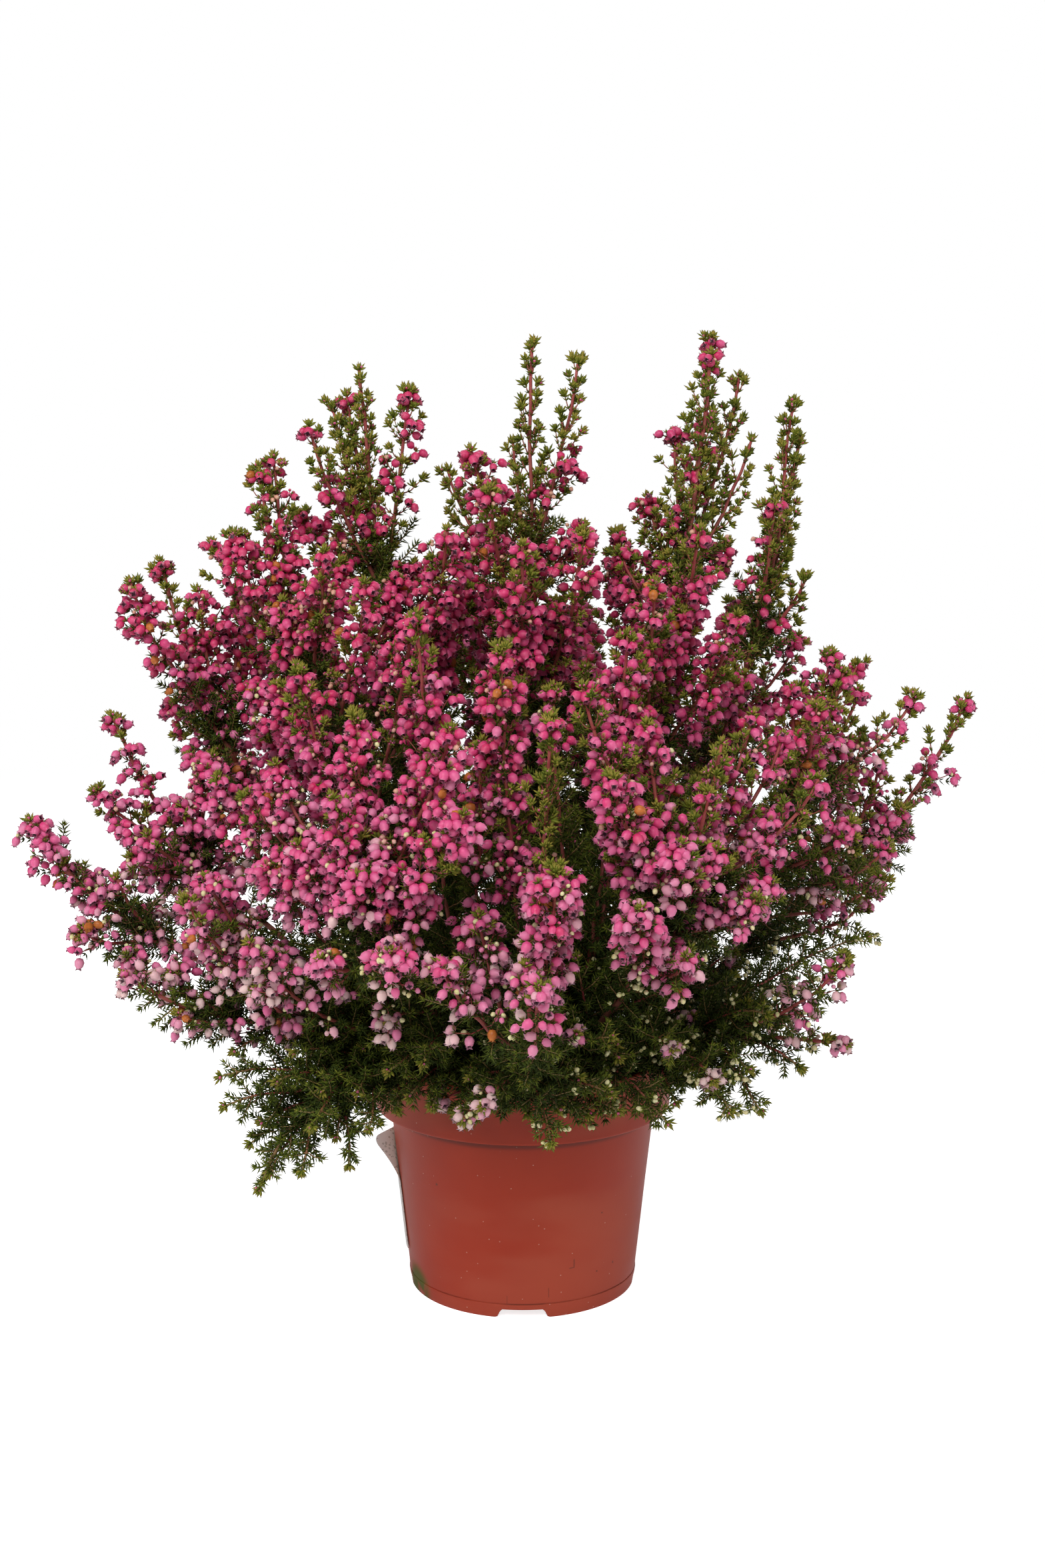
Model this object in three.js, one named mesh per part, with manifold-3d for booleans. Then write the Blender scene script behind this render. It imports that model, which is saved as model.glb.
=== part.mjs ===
// A potted heather: a moulded plastic pot, its peat, a peeling paper label, and 19 main shoots.
// Each shoot is a woody stem rooted in a socket of the peat, a sleeve of leaves round its middle and
// a sleeve of flower bells round its upper part. Millimetres, +Z up, the pot stands on z = 0, its axis
// is the Z axis, and its front looks along -Y.
import * as THREE from "three";
import { mergeVertices } from "three/addons/utils/BufferGeometryUtils.js";
import Module from "manifold-3d";

const wasm = await Module();
wasm.setup();

// ---- Pot ----
const potHeight = 105;
const rimRadius = 65; // outside of the collar at its top
const collarHeight = 24.5;
const collarFlare = 0.8; // the collar is this much narrower at its lower edge
const collarStep = 7.4; // how much narrower the body is than the rim, just under the collar
const footRadius = 49; // outside of the foot ring on the ground
const wall = 1.6;
const rimRound = 0.9; // rounding of the collar's top edge
const footHeight = 5; // the pot's floor is raised by this much
const footWall = 2.2;
const potSegments = 56;

const notchCount = 4; // slots in the foot ring that let water out
const notchWidth = 24; // at the ground
const notchTopWidth = 18;
const notchHeight = 4;

const drainCount = 8;
const drainRadius = 4;
const drainRing = 34; // the ring of drain holes, from the axis
const drainSegments = 12;

// ---- Peat ----
const peatDrop = 12; // from the rim down to the peat
const peatDome = 3; // how much higher the peat is at its middle
const clearance = 0.3; // between any two pieces that touch
const peatSegments = 28;

// ---- Label ----
const labelThickness = 0.4;
const labelWidth = 60; // round the pot
const labelHeight = 50;
const labelRaise = 1.75; // above the middle of the wall under the collar
const labelFrontEdge = 14; // degrees from the pot's left side towards the front
const peelWidth = 16; // the corner that has come away
const peelDrop = 18;
const peelLift = 9; // how far its point stands off the pot
const peelCurve = 1.4; // over 1 curls it away from the pot

// ---- Plant ----
const plantTop = 404; // the tallest tip above the ground
const crownHalfWidth = 198;
const crownHalfDepth = 180;
const rootRing = 0.49; // how far out the outermost stem enters the peat, as a share of the rim's radius
const rootDepth = 10;
const rimPass = 18; // a low shoot bends over the rim at about this height
const outwardRise = 0.27; // a far-reaching stem rises by this share of its reach before it leans out
const lowBend = 0.12; // how far out a stem is when it starts to lean, as a share of its reach
const highBend = 0.78; // and when it turns up again
const highBendRise = 0.45; // and how high it is there, as a share of its rise
const stemBaseRadius = 1.6;
const stemTipRadius = 0.6;
const stemSides = 6;
const stations = 9; // straight lengths in one stem
const leafStation = 3; // where its leaves start, or later where stems stand close
const bellStation = 5; // where its bells start
const sleeveRadius = 25; // at its widest
const sleeveWall = 0.8; // at its thinnest
const sleeveShape = [0.36, 0.66, 0.86, 1, 0.98, 0.72, 0.3]; // from the leaves' foot to the shoot's tip
const neighbourShare = 0.45; // of the way to the nearest other stem

// Where each shoot's tip is: side and depth as shares of the crown's half width and half depth (a
// positive depth is behind the pot), and rise as a share of the way from the peat to the plant's top.
const shoots = [
  { side: -0.35, depth: 0.11, rise: 0.97 }, // tall ones on the left, from the middle outwards
  { side: -0.55, depth: -0.08, rise: 0.84 },
  { side: -0.78, depth: 0.06, rise: 0.71 },
  { side: -0.86, depth: -0.12, rise: 0.51 },
  { side: -1.0, depth: -0.22, rise: 0.36 }, // low ones on the left
  { side: -0.8, depth: -0.42, rise: 0.2 },
  { side: -0.53, depth: -0.48, rise: -0.07 },
  { side: 0.02, depth: 0.11, rise: 1.0 }, // tall ones on the right, from the middle outwards
  { side: 0.4, depth: 0.06, rise: 0.99 },
  { side: 0.6, depth: 0.14, rise: 0.88 },
  { side: 0.67, depth: -0.12, rise: 0.57 },
  { side: 1.0, depth: 0.25, rise: 0.51 },
  { side: 0.66, depth: -0.36, rise: 0.1 },
  { side: 0.35, depth: -0.7, rise: 0.46 }, // the front
  { side: -0.35, depth: -0.75, rise: 0.46 },
  { side: 0.03, depth: -1.0, rise: 0.27 },
  { side: -0.55, depth: 0.62, rise: 0.55 }, // the back
  { side: 0.5, depth: 0.68, rise: 0.6 },
  { side: -0.02, depth: 1.0, rise: 0.42 },
];

// ---- Colours ----
const potPlastic = new THREE.MeshStandardMaterial({ color: 0x9a4230, roughness: 0.45, metalness: 0 });
const peat = new THREE.MeshStandardMaterial({ color: 0x2f2118, roughness: 0.95, metalness: 0 });
const paper = new THREE.MeshStandardMaterial({ color: 0xe6e0d8, roughness: 0.6, metalness: 0 });
const bark = new THREE.MeshStandardMaterial({ color: 0x7d3b34, roughness: 0.7, metalness: 0 });
const foliage = new THREE.MeshStandardMaterial({ color: 0x4f6b2c, roughness: 0.6, metalness: 0 });
const blossom = new THREE.MeshStandardMaterial({ color: 0xcf4a86, roughness: 0.5, metalness: 0 });

// ---- Tools ----
function solidOf(geometry) {
  const bare = new THREE.BufferGeometry();
  const open = geometry.index ? geometry.toNonIndexed() : geometry;
  bare.setAttribute("position", open.getAttribute("position"));
  const merged = mergeVertices(bare, 1e-3);
  return new wasm.Manifold(
    new wasm.Mesh({
      numProp: 3,
      vertProperties: merged.attributes.position.array,
      triVerts: new Uint32Array(merged.index.array),
    }),
  );
}

function geometryOf(solid) {
  const mesh = solid.getMesh();
  const geometry = new THREE.BufferGeometry();
  geometry.setAttribute("position", new THREE.BufferAttribute(mesh.vertProperties, mesh.numProp));
  geometry.setIndex(new THREE.BufferAttribute(mesh.triVerts, 1));
  geometry.computeVertexNormals();
  return geometry;
}

// A solid of revolution about Z. Its profile runs anticlockwise in (radius, height).
function turned(profile, segments) {
  const points = profile.map(([radius, height]) => new THREE.Vector2(radius, height));
  return new THREE.LatheGeometry(points, segments).rotateX(Math.PI / 2);
}

function geometryFrom(points, triangles) {
  const geometry = new THREE.BufferGeometry().setFromPoints(points);
  geometry.setIndex(triangles);
  geometry.computeVertexNormals();
  return geometry;
}

// The two triangles of a four-sided face, seen anticlockwise from outside.
const quad = (a, b, c, d) => [a, b, c, a, c, d];

function circleOf({ centre, normal, binormal }, radius) {
  return Array.from({ length: stemSides }, (_, k) => {
    const turn = (2 * Math.PI * k) / stemSides;
    return centre
      .clone()
      .addScaledVector(normal, radius * Math.cos(turn))
      .addScaledVector(binormal, radius * Math.sin(turn));
  });
}

// A closed rod through rings of points that run anticlockwise about its direction.
function rod(rings) {
  const triangles = [];
  const last = (rings.length - 1) * stemSides;
  for (let i = 0; i + 1 < rings.length; i++) {
    for (let k = 0; k < stemSides; k++) {
      const a = i * stemSides + k;
      const b = i * stemSides + ((k + 1) % stemSides);
      triangles.push(...quad(a, b, b + stemSides, a + stemSides));
    }
  }
  for (let k = 1; k + 1 < stemSides; k++) {
    triangles.push(0, k + 1, k);
    triangles.push(last, last + k, last + k + 1);
  }
  return geometryFrom(rings.flat(), triangles);
}

// A closed sleeve between outer and inner rings.
function sleeve(outer, inner) {
  const triangles = [];
  const inside = outer.length * stemSides;
  const last = (outer.length - 1) * stemSides;
  for (let k = 0; k < stemSides; k++) {
    const next = (k + 1) % stemSides;
    for (let i = 0; i + 1 < outer.length; i++) {
      const a = i * stemSides + k;
      const b = i * stemSides + next;
      triangles.push(...quad(a, b, b + stemSides, a + stemSides));
      triangles.push(...quad(inside + b, inside + a, inside + a + stemSides, inside + b + stemSides));
    }
    triangles.push(...quad(inside + k, inside + next, next, k));
    triangles.push(...quad(last + k, last + next, inside + last + next, inside + last + k));
  }
  return geometryFrom([...outer, ...inner].flat(), triangles);
}

// ---- Pot ----
const ledgeHeight = potHeight - collarHeight;
const floorTop = footHeight + wall;
const bodySlope = (rimRadius - collarStep - footRadius) / ledgeHeight;
const outsideAt = (height) => footRadius + bodySlope * height;
const insideAt = (height) => outsideAt(height) - wall;
const collarInside = rimRadius - wall - 0.4;

function makePot() {
  const body = solidOf(
    turned(
      [
        [0, footHeight],
        [footRadius - footWall, footHeight],
        [footRadius - footWall, 0],
        [footRadius - 0.4, 0],
        [outsideAt(0.4), 0.4],
        [outsideAt(ledgeHeight), ledgeHeight],
        [rimRadius - collarFlare, ledgeHeight],
        [rimRadius, potHeight - rimRound],
        [rimRadius - rimRound, potHeight],
        [collarInside + 0.3, potHeight],
        [collarInside, potHeight - rimRound],
        [collarInside - collarFlare, ledgeHeight + wall],
        [insideAt(ledgeHeight - wall), ledgeHeight - wall],
        [insideAt(floorTop), floorTop],
        [0, floorTop],
      ],
      potSegments,
    ),
  );
  const outline = new THREE.Shape()
    .moveTo(-notchWidth / 2, -1)
    .lineTo(notchWidth / 2, -1)
    .lineTo(notchWidth / 2, 0)
    .lineTo(notchTopWidth / 2, notchHeight)
    .lineTo(-notchTopWidth / 2, notchHeight)
    .lineTo(-notchWidth / 2, 0);
  let pot = body;
  for (let n = 0; n < notchCount; n++) {
    const cut = new THREE.ExtrudeGeometry(outline, { depth: footRadius, bevelEnabled: false })
      .rotateX(Math.PI / 2)
      .translate(0, -footRadius / 2, 0)
      .rotateZ((2 * Math.PI * n) / notchCount);
    pot = pot.subtract(solidOf(cut));
  }
  for (let n = 0; n <= drainCount; n++) {
    const turn = (2 * Math.PI * (n + 0.5)) / drainCount;
    const out = n === drainCount ? 0 : drainRing; // the last hole is in the middle
    const cut = new THREE.CylinderGeometry(drainRadius, drainRadius, 4 * wall, drainSegments)
      .rotateX(Math.PI / 2)
      .translate(out * Math.cos(turn), out * Math.sin(turn), footHeight);
    pot = pot.subtract(solidOf(cut));
  }
  return geometryOf(pot);
}

// ---- Shoots ----
const peatTop = potHeight - peatDrop;

// A stem's line: up out of the peat, outwards over the rim, then up again to its tip.
function lineOf({ side, depth, rise }) {
  const tip = new THREE.Vector3(
    side * crownHalfWidth,
    depth * crownHalfDepth,
    peatTop + rise * (plantTop - peatTop),
  );
  const ring = rootRing * rimRadius;
  const root = new THREE.Vector3(side * ring, depth * ring, peatTop - rootDepth);
  const way = tip.clone().sub(root);
  const low = root.clone().lerp(tip, lowBend);
  low.z = Math.max(potHeight + rimPass, root.z + outwardRise * Math.hypot(way.x, way.y));
  const high = root.clone().lerp(tip, highBend);
  high.z = Math.max(potHeight + rimPass, root.z + highBendRise * way.z);
  return new THREE.CubicBezierCurve3(root, low, high, tip);
}

function framesOf(line) {
  const { tangents, normals, binormals } = line.computeFrenetFrames(stations);
  return normals.map((normal, i) => ({
    centre: line.getPointAt(i / stations),
    along: tangents[i],
    normal,
    binormal: binormals[i],
  }));
}

const lines = shoots.map(lineOf);
const fine = 4; // points to each station, where the room round a stem is measured
const linePoints = lines.map((line) => line.getSpacedPoints(stations * fine));

const stemRadiusAt = (i) => THREE.MathUtils.lerp(stemBaseRadius, stemTipRadius, i / stations);
const holeRadiusAt = (i) => stemRadiusAt(i) + 2 * clearance;

function distanceToPot({ x, y, z }) {
  return Math.hypot(Math.max(0, Math.hypot(x, y) - rimRadius), Math.max(0, z - potHeight));
}

// A sleeve's radius round shoot n at a station, where it stays clear of the pot, of the ground, and
// of the other stems and their sleeves.
function sleeveRadiusAt(n, station) {
  const from = (station - 1) * fine;
  const nearby = linePoints[n].slice(from, from + 2 * fine + 1);
  let room = sleeveRadius * sleeveShape[station - leafStation];
  for (const point of nearby) {
    room = Math.min(room, distanceToPot(point) - clearance, point.z / 2);
    for (const [m, others] of linePoints.entries()) {
      if (m === n) continue;
      for (const other of others) room = Math.min(room, neighbourShare * point.distanceTo(other));
    }
  }
  return room;
}

function makeStem(frames) {
  return rod(frames.map((frame, i) => circleOf(frame, stemRadiusAt(i))));
}

// A sleeve round shoot n's stem. It keeps its clearance along the stem from what lies below it.
function makeSleeve(n, frames, from, to) {
  const outer = [];
  const inner = [];
  for (let i = from; i <= to; i++) {
    const lift = i === from ? clearance : 0;
    const frame = { ...frames[i], centre: frames[i].centre.clone().addScaledVector(frames[i].along, lift) };
    outer.push(circleOf(frame, Math.max(sleeveRadiusAt(n, i), holeRadiusAt(i) + sleeveWall)));
    inner.push(circleOf(frame, holeRadiusAt(i)));
  }
  return sleeve(outer, inner);
}

// The leaves start above the last station that has no room for them.
function makeLeaves(n, frames) {
  const hasRoom = (i) => sleeveRadiusAt(n, i) > holeRadiusAt(i) + sleeveWall;
  let start = bellStation - 1;
  while (start > leafStation && hasRoom(start - 1)) start--;
  return makeSleeve(n, frames, start, bellStation);
}

function makeBells(n, frames) {
  return makeSleeve(n, frames, bellStation, stations);
}

// The hole in the peat that a stem's foot stands in, open at the top.
function socketOf(frames) {
  const [foot, ...above] = frames.slice(0, leafStation);
  const below = { ...foot, centre: foot.centre.clone().addScaledVector(foot.along, -clearance) };
  return solidOf(rod([below, ...above].map((frame) => circleOf(frame, holeRadiusAt(0)))));
}

// ---- Peat ----
function makePeat(stemFrames) {
  const gap = clearance;
  const block = solidOf(
    turned(
      [
        [0, floorTop + gap],
        [insideAt(floorTop) - gap, floorTop + gap],
        [insideAt(ledgeHeight - wall) - gap, ledgeHeight - wall + gap],
        [collarInside - collarFlare - gap, ledgeHeight + wall + gap],
        [collarInside - collarFlare - gap, peatTop],
        [0.6 * rimRadius, peatTop + 0.6 * peatDome],
        [0.3 * rimRadius, peatTop + peatDome],
        [0, peatTop + peatDome],
      ],
      peatSegments,
    ),
  );
  return geometryOf(stemFrames.reduce((left, frames) => left.subtract(socketOf(frames)), block));
}

// ---- Label ----
// A strip of paper round the pot's left side. Its front upper corner has peeled away.
function makeLabel() {
  const across = 14;
  const up = 9;
  const bottom = ledgeHeight / 2 + labelRaise - labelHeight / 2;
  const girth = outsideAt(bottom + labelHeight / 2);
  const place = (i, j, out) => {
    const along = (labelWidth * i) / across;
    const height = (labelHeight * j) / up;
    const corner = Math.max(0, 1 - along / peelWidth - (labelHeight - height) / peelDrop);
    const turn = THREE.MathUtils.degToRad(180 + labelFrontEdge) - along / girth;
    const radius = outsideAt(bottom + height) + clearance + out + peelLift * corner ** peelCurve;
    return new THREE.Vector3(radius * Math.cos(turn), radius * Math.sin(turn), bottom + height);
  };
  const points = [];
  for (const out of [0, labelThickness]) {
    for (let i = 0; i <= across; i++) {
      for (let j = 0; j <= up; j++) points.push(place(i, j, out));
    }
  }
  const face = (across + 1) * (up + 1);
  const at = (i, j, layer) => layer * face + i * (up + 1) + j;
  const triangles = [];
  for (let i = 0; i < across; i++) {
    for (let j = 0; j < up; j++) {
      triangles.push(...quad(at(i, j, 0), at(i + 1, j, 0), at(i + 1, j + 1, 0), at(i, j + 1, 0)));
      triangles.push(...quad(at(i, j, 1), at(i, j + 1, 1), at(i + 1, j + 1, 1), at(i + 1, j, 1)));
    }
    triangles.push(...quad(at(i, 0, 1), at(i + 1, 0, 1), at(i + 1, 0, 0), at(i, 0, 0)));
    triangles.push(...quad(at(i, up, 0), at(i + 1, up, 0), at(i + 1, up, 1), at(i, up, 1)));
  }
  for (let j = 0; j < up; j++) {
    triangles.push(...quad(at(0, j, 1), at(0, j, 0), at(0, j + 1, 0), at(0, j + 1, 1)));
    triangles.push(...quad(at(across, j, 0), at(across, j, 1), at(across, j + 1, 1), at(across, j + 1, 0)));
  }
  return geometryFrom(points, triangles);
}

// ---- Assembly ----
const heather = new THREE.Group();

function addPiece(name, geometry, material) {
  const mesh = new THREE.Mesh(geometry, material);
  mesh.name = name;
  heather.add(mesh);
}

const stemFrames = lines.map(framesOf);
addPiece("pot", makePot(), potPlastic);
addPiece("potting_peat", makePeat(stemFrames), peat);
addPiece("pot_label", makeLabel(), paper);
stemFrames.forEach((frames, n) => {
  const number = String(n + 1).padStart(2, "0");
  addPiece(`stem_${number}`, makeStem(frames), bark);
  addPiece(`leaves_${number}`, makeLeaves(n, frames), foliage);
  addPiece(`bells_${number}`, makeBells(n, frames), blossom);
});

export default heather;
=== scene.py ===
import math

import bmesh
import bpy
import numpy as np
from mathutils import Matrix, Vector, noise


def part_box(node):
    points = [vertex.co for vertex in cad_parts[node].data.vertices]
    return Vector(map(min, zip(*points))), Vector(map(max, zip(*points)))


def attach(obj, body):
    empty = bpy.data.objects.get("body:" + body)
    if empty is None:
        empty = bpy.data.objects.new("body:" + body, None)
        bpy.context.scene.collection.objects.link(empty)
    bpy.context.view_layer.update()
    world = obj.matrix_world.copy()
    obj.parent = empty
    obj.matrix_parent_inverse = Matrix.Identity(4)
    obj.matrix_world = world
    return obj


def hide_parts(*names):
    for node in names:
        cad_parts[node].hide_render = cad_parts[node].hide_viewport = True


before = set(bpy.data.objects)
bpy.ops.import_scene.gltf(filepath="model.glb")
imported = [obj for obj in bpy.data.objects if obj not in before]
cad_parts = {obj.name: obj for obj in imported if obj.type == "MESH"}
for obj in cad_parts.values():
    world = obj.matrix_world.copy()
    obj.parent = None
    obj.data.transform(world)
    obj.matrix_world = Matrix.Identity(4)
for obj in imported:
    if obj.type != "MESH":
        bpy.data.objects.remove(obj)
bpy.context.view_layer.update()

mm = 0.001
up = np.array((0.0, 0.0, 1.0))
dice = np.random.default_rng(11)
print("frame loaded:", len(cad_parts), "nodes")


# camera, light and floor

cameraLook = {"place": (0.0, -0.92, 0.366), "downward": 9.0, "lens": 50.0}  # downward in degrees

lights = {
    "key": {"place": (-0.35, -1.25, 1.35), "size": 1.3, "watts": 28.0},
    "fill": {"place": (1.4, -0.6, 0.6), "size": 1.2, "watts": 6.5},
    "side": {"place": (-1.4, -0.3, 0.5), "size": 1.0, "watts": 5.0},
    "back": {"place": (0.3, 1.4, 1.5), "size": 1.4, "watts": 14.0},
}

floorLook = {
    "colour": (0.9, 0.9, 0.9, 1.0),
    "glow": 1.0,  # of the backdrop and of the far floor
    "room": 0.12,  # how bright the backdrop is as a light
    "lift": 0.78,  # glow of the floor near the pot
    "near": 0.55,  # where the floor starts to fade into the glow
    "far": 1.6,
    "radius": 40.0,
}
lightsAim = Vector((0, 0, 0.2))


def makeCamera(look):
    camera = bpy.data.objects.new("camera", bpy.data.cameras.new("camera"))
    camera.location = look["place"]
    camera.rotation_euler = (math.radians(90 - look["downward"]), 0, 0)
    camera.data.lens = look["lens"]
    bpy.context.scene.collection.objects.link(camera)
    bpy.context.scene.camera = camera


def makeLights():
    for name, look in lights.items():
        lamp = bpy.data.objects.new(name, bpy.data.lights.new(name, "AREA"))
        lamp.data.shape = "DISK"
        lamp.data.size = look["size"]
        lamp.data.energy = look["watts"]
        lamp.location = look["place"]
        lamp.rotation_euler = (lightsAim - lamp.location).to_track_quat("-Z", "Y").to_euler()
        bpy.context.scene.collection.objects.link(lamp)
    world = bpy.data.worlds.new("studio")
    world.use_nodes = True
    tree = world.node_tree
    sky = tree.nodes["Background"]
    sky.inputs["Color"].default_value = (1, 1, 1, 1)
    seen = addNode(tree, "ShaderNodeLightPath").outputs["Is Camera Ray"]
    plug(tree, sky.inputs["Strength"], rangeOf(tree, seen, 0, 1, floorLook["room"], floorLook["glow"]))
    bpy.context.scene.world = world
    bpy.context.scene.view_settings.view_transform = "Standard"


# node helpers


def newMaterial(name):
    material = bpy.data.materials.new(name)
    material.use_nodes = True
    tree = material.node_tree
    tree.nodes.clear()
    output = tree.nodes.new("ShaderNodeOutputMaterial")
    shader = tree.nodes.new("ShaderNodeBsdfPrincipled")
    tree.links.new(shader.outputs["BSDF"], output.inputs["Surface"])
    return material, tree, shader


def addNode(tree, kind, inputs=None, **values):
    made = tree.nodes.new(kind)
    for name, value in values.items():
        setattr(made, name, value)
    for name, value in (inputs or {}).items():
        plug(tree, made.inputs[name], value)
    return made


def plug(tree, socket, value):
    if isinstance(value, bpy.types.NodeSocket):
        tree.links.new(value, socket)
    else:
        socket.default_value = value


def maths(tree, operation, first, second=0.0, clamp=False):
    made = addNode(tree, "ShaderNodeMath", {0: first, 1: second}, operation=operation, use_clamp=clamp)
    return made.outputs[0]


def times(tree, first, second):
    return maths(tree, "MULTIPLY", first, second)


def gapTo(tree, value, target):
    # how far a value is from the target, whichever side it is on
    return maths(tree, "ABSOLUTE", maths(tree, "SUBTRACT", value, target))


def mixColours(tree, share, first, second):
    made = addNode(tree, "ShaderNodeMix", data_type="RGBA")
    plug(tree, made.inputs[0], share)
    plug(tree, made.inputs[6], first)
    plug(tree, made.inputs[7], second)
    return made.outputs[2]


def rangeOf(tree, value, low, high, newLow=0.0, newHigh=1.0):
    made = addNode(tree, "ShaderNodeMapRange", {0: value, 1: low, 2: high, 3: newLow, 4: newHigh})
    made.interpolation_type = "SMOOTHSTEP"
    return made.outputs[0]


def colourRamp(tree, value, stops):
    made = addNode(tree, "ShaderNodeValToRGB", {0: value})
    ramp = made.color_ramp
    while len(ramp.elements) < len(stops):
        ramp.elements.new(1.0)
    for element, (place, colour) in zip(ramp.elements, stops):
        element.position = place
        element.color = (*colour, 1.0)
    return made.outputs[0]


def objectPlace(tree):
    return addNode(tree, "ShaderNodeTexCoord").outputs["Object"]


def attribute(tree, name):
    return addNode(tree, "ShaderNodeAttribute", attribute_name=name).outputs["Fac"]


def newGroup(name, inputs, output):
    group = bpy.data.node_groups.new(name, "ShaderNodeTree")
    for label, value in inputs.items():
        socket = group.interface.new_socket(label, in_out="INPUT", socket_type="NodeSocketFloat")
        socket.default_value = value
    group.interface.new_socket(output[0], in_out="OUTPUT", socket_type=output[1])
    return group, group.nodes.new("NodeGroupInput").outputs, group.nodes.new("NodeGroupOutput").inputs


def stained(tree, base, mask, amount, colour):
    return mixColours(tree, times(tree, mask, amount), base, (*colour, 1))


def useGroup(tree, group, **inputs):
    made = addNode(tree, "ShaderNodeGroup", node_tree=group)
    for name, value in inputs.items():
        plug(tree, made.inputs[name.capitalize()], value)
    return made.outputs[0]


def setSockets(shader, values):
    for name, value in values.items():
        shader.inputs[name].default_value = value


# shared effects


def noiseAt(tree, scale, detail):
    inputs = {"Vector": objectPlace(tree), "Scale": scale, "Detail": detail}
    return addNode(tree, "ShaderNodeTexNoise", inputs).outputs[0]


def cloudyPatches():
    inputs = {"Scale": 30.0, "Contrast": 1.0}
    group, given, result = newGroup("cloudyPatches", inputs, ("Value", "NodeSocketFloat"))
    centred = maths(group, "SUBTRACT", noiseAt(group, given["Scale"], 4.0), 0.5)
    spread = times(group, centred, given["Contrast"])
    group.links.new(maths(group, "ADD", spread, 0.5, clamp=True), result[0])
    return group


def dirtSpecks():
    inputs = {"Scale": 400.0, "Size": 0.12, "Rarity": 0.6}
    group, given, result = newGroup("dirtSpecks", inputs, ("Mask", "NodeSocketFloat"))
    cells = addNode(group, "ShaderNodeTexVoronoi", {"Vector": objectPlace(group), "Scale": given["Scale"]})
    dot = maths(group, "LESS_THAN", cells.outputs["Distance"], given["Size"])
    parts = addNode(group, "ShaderNodeSeparateColor", {0: cells.outputs["Color"]})
    chosen = maths(group, "GREATER_THAN", parts.outputs[0], given["Rarity"])
    group.links.new(times(group, dot, chosen), result[0])
    return group


def softGrain():
    inputs = {"Scale": 900.0, "Strength": 0.2, "Depth": 0.0002}
    group, given, result = newGroup("softGrain", inputs, ("Normal", "NodeSocketVector"))
    heights = {"Height": noiseAt(group, given["Scale"], 3.0), "Strength": given["Strength"]}
    bump = addNode(group, "ShaderNodeBump", {**heights, "Distance": given["Depth"]})
    group.links.new(bump.outputs[0], result[0])
    return group


patches = cloudyPatches()
specks = dirtSpecks()
grain = softGrain()


def makeFloor(look):
    mesh = bpy.data.meshes.new("floor")
    shape = bmesh.new()
    bmesh.ops.create_circle(shape, cap_ends=True, segments=96, radius=look["radius"])
    shape.to_mesh(mesh)
    shape.free()
    floor = bpy.data.objects.new("floor", mesh)
    bpy.context.scene.collection.objects.link(floor)
    material, tree, shader = newMaterial("paleFloor")
    place = addNode(tree, "ShaderNodeSeparateXYZ", {0: objectPlace(tree)})
    flat = addNode(tree, "ShaderNodeCombineXYZ", {0: place.outputs[0], 1: place.outputs[1]})
    away = addNode(tree, "ShaderNodeVectorMath", {0: flat.outputs[0]}, operation="LENGTH").outputs["Value"]
    fade = rangeOf(tree, away, look["near"], look["far"])
    plug(tree, shader.inputs["Base Color"], mixColours(tree, fade, look["colour"], (0, 0, 0, 1)))
    near, far = ((look[key], look[key], look[key], 1.0) for key in ("lift", "glow"))
    plug(tree, shader.inputs["Emission Color"], mixColours(tree, fade, near, far))
    seen = addNode(tree, "ShaderNodeLightPath").outputs["Is Camera Ray"]
    plug(tree, shader.inputs["Emission Strength"], rangeOf(tree, seen, 0, 1, look["room"], 1.0))
    setSockets(shader, {"Roughness": 0.9, "Specular IOR Level": 0.0})
    mesh.materials.append(material)


makeCamera(cameraLook)
makeLights()
makeFloor(floorLook)
print("camera, light and floor made")


# meshes from arrays of points

tileLook = {"inside": 0.92, "edge": 0.04, "cap": 0.02}  # shares of one copy's tile in UV space
skewed = (0.31, 0.86, 0.40)  # a direction that no stem has


def newPiece(name, mesh, material, nodes):
    mesh.materials.append(material)
    piece = bpy.data.objects.new(name, mesh)
    bpy.context.scene.collection.objects.link(piece)
    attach(piece, "root")
    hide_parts(*nodes)
    return piece


def meshOf(name, points, corners, counts, places=None, values=None):
    mesh = bpy.data.meshes.new(name)
    mesh.vertices.add(len(points))
    mesh.vertices.foreach_set("co", np.asarray(points, np.float32).ravel())
    mesh.loops.add(len(corners))
    mesh.loops.foreach_set("vertex_index", np.asarray(corners, np.int32))
    starts = np.concatenate(([0], np.cumsum(counts)[:-1])).astype(np.int32)
    mesh.polygons.add(len(counts))
    mesh.polygons.foreach_set("loop_start", starts)
    mesh.polygons.foreach_set("use_smooth", np.ones(len(counts), bool))
    mesh.update(calc_edges=True)
    if places is not None:
        layer = mesh.uv_layers.new(name="OFBake")
        layer.uv.foreach_set("vector", np.asarray(places, np.float32).ravel())
    for label, numbers in (values or {}).items():
        made = mesh.attributes.new(label, "FLOAT", "POINT")
        made.data.foreach_set("value", np.asarray(numbers, np.float32).ravel())
    return mesh


def cornersOf(faces):
    return np.concatenate([np.array(face) for face in faces]), np.array([len(face) for face in faces])


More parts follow.
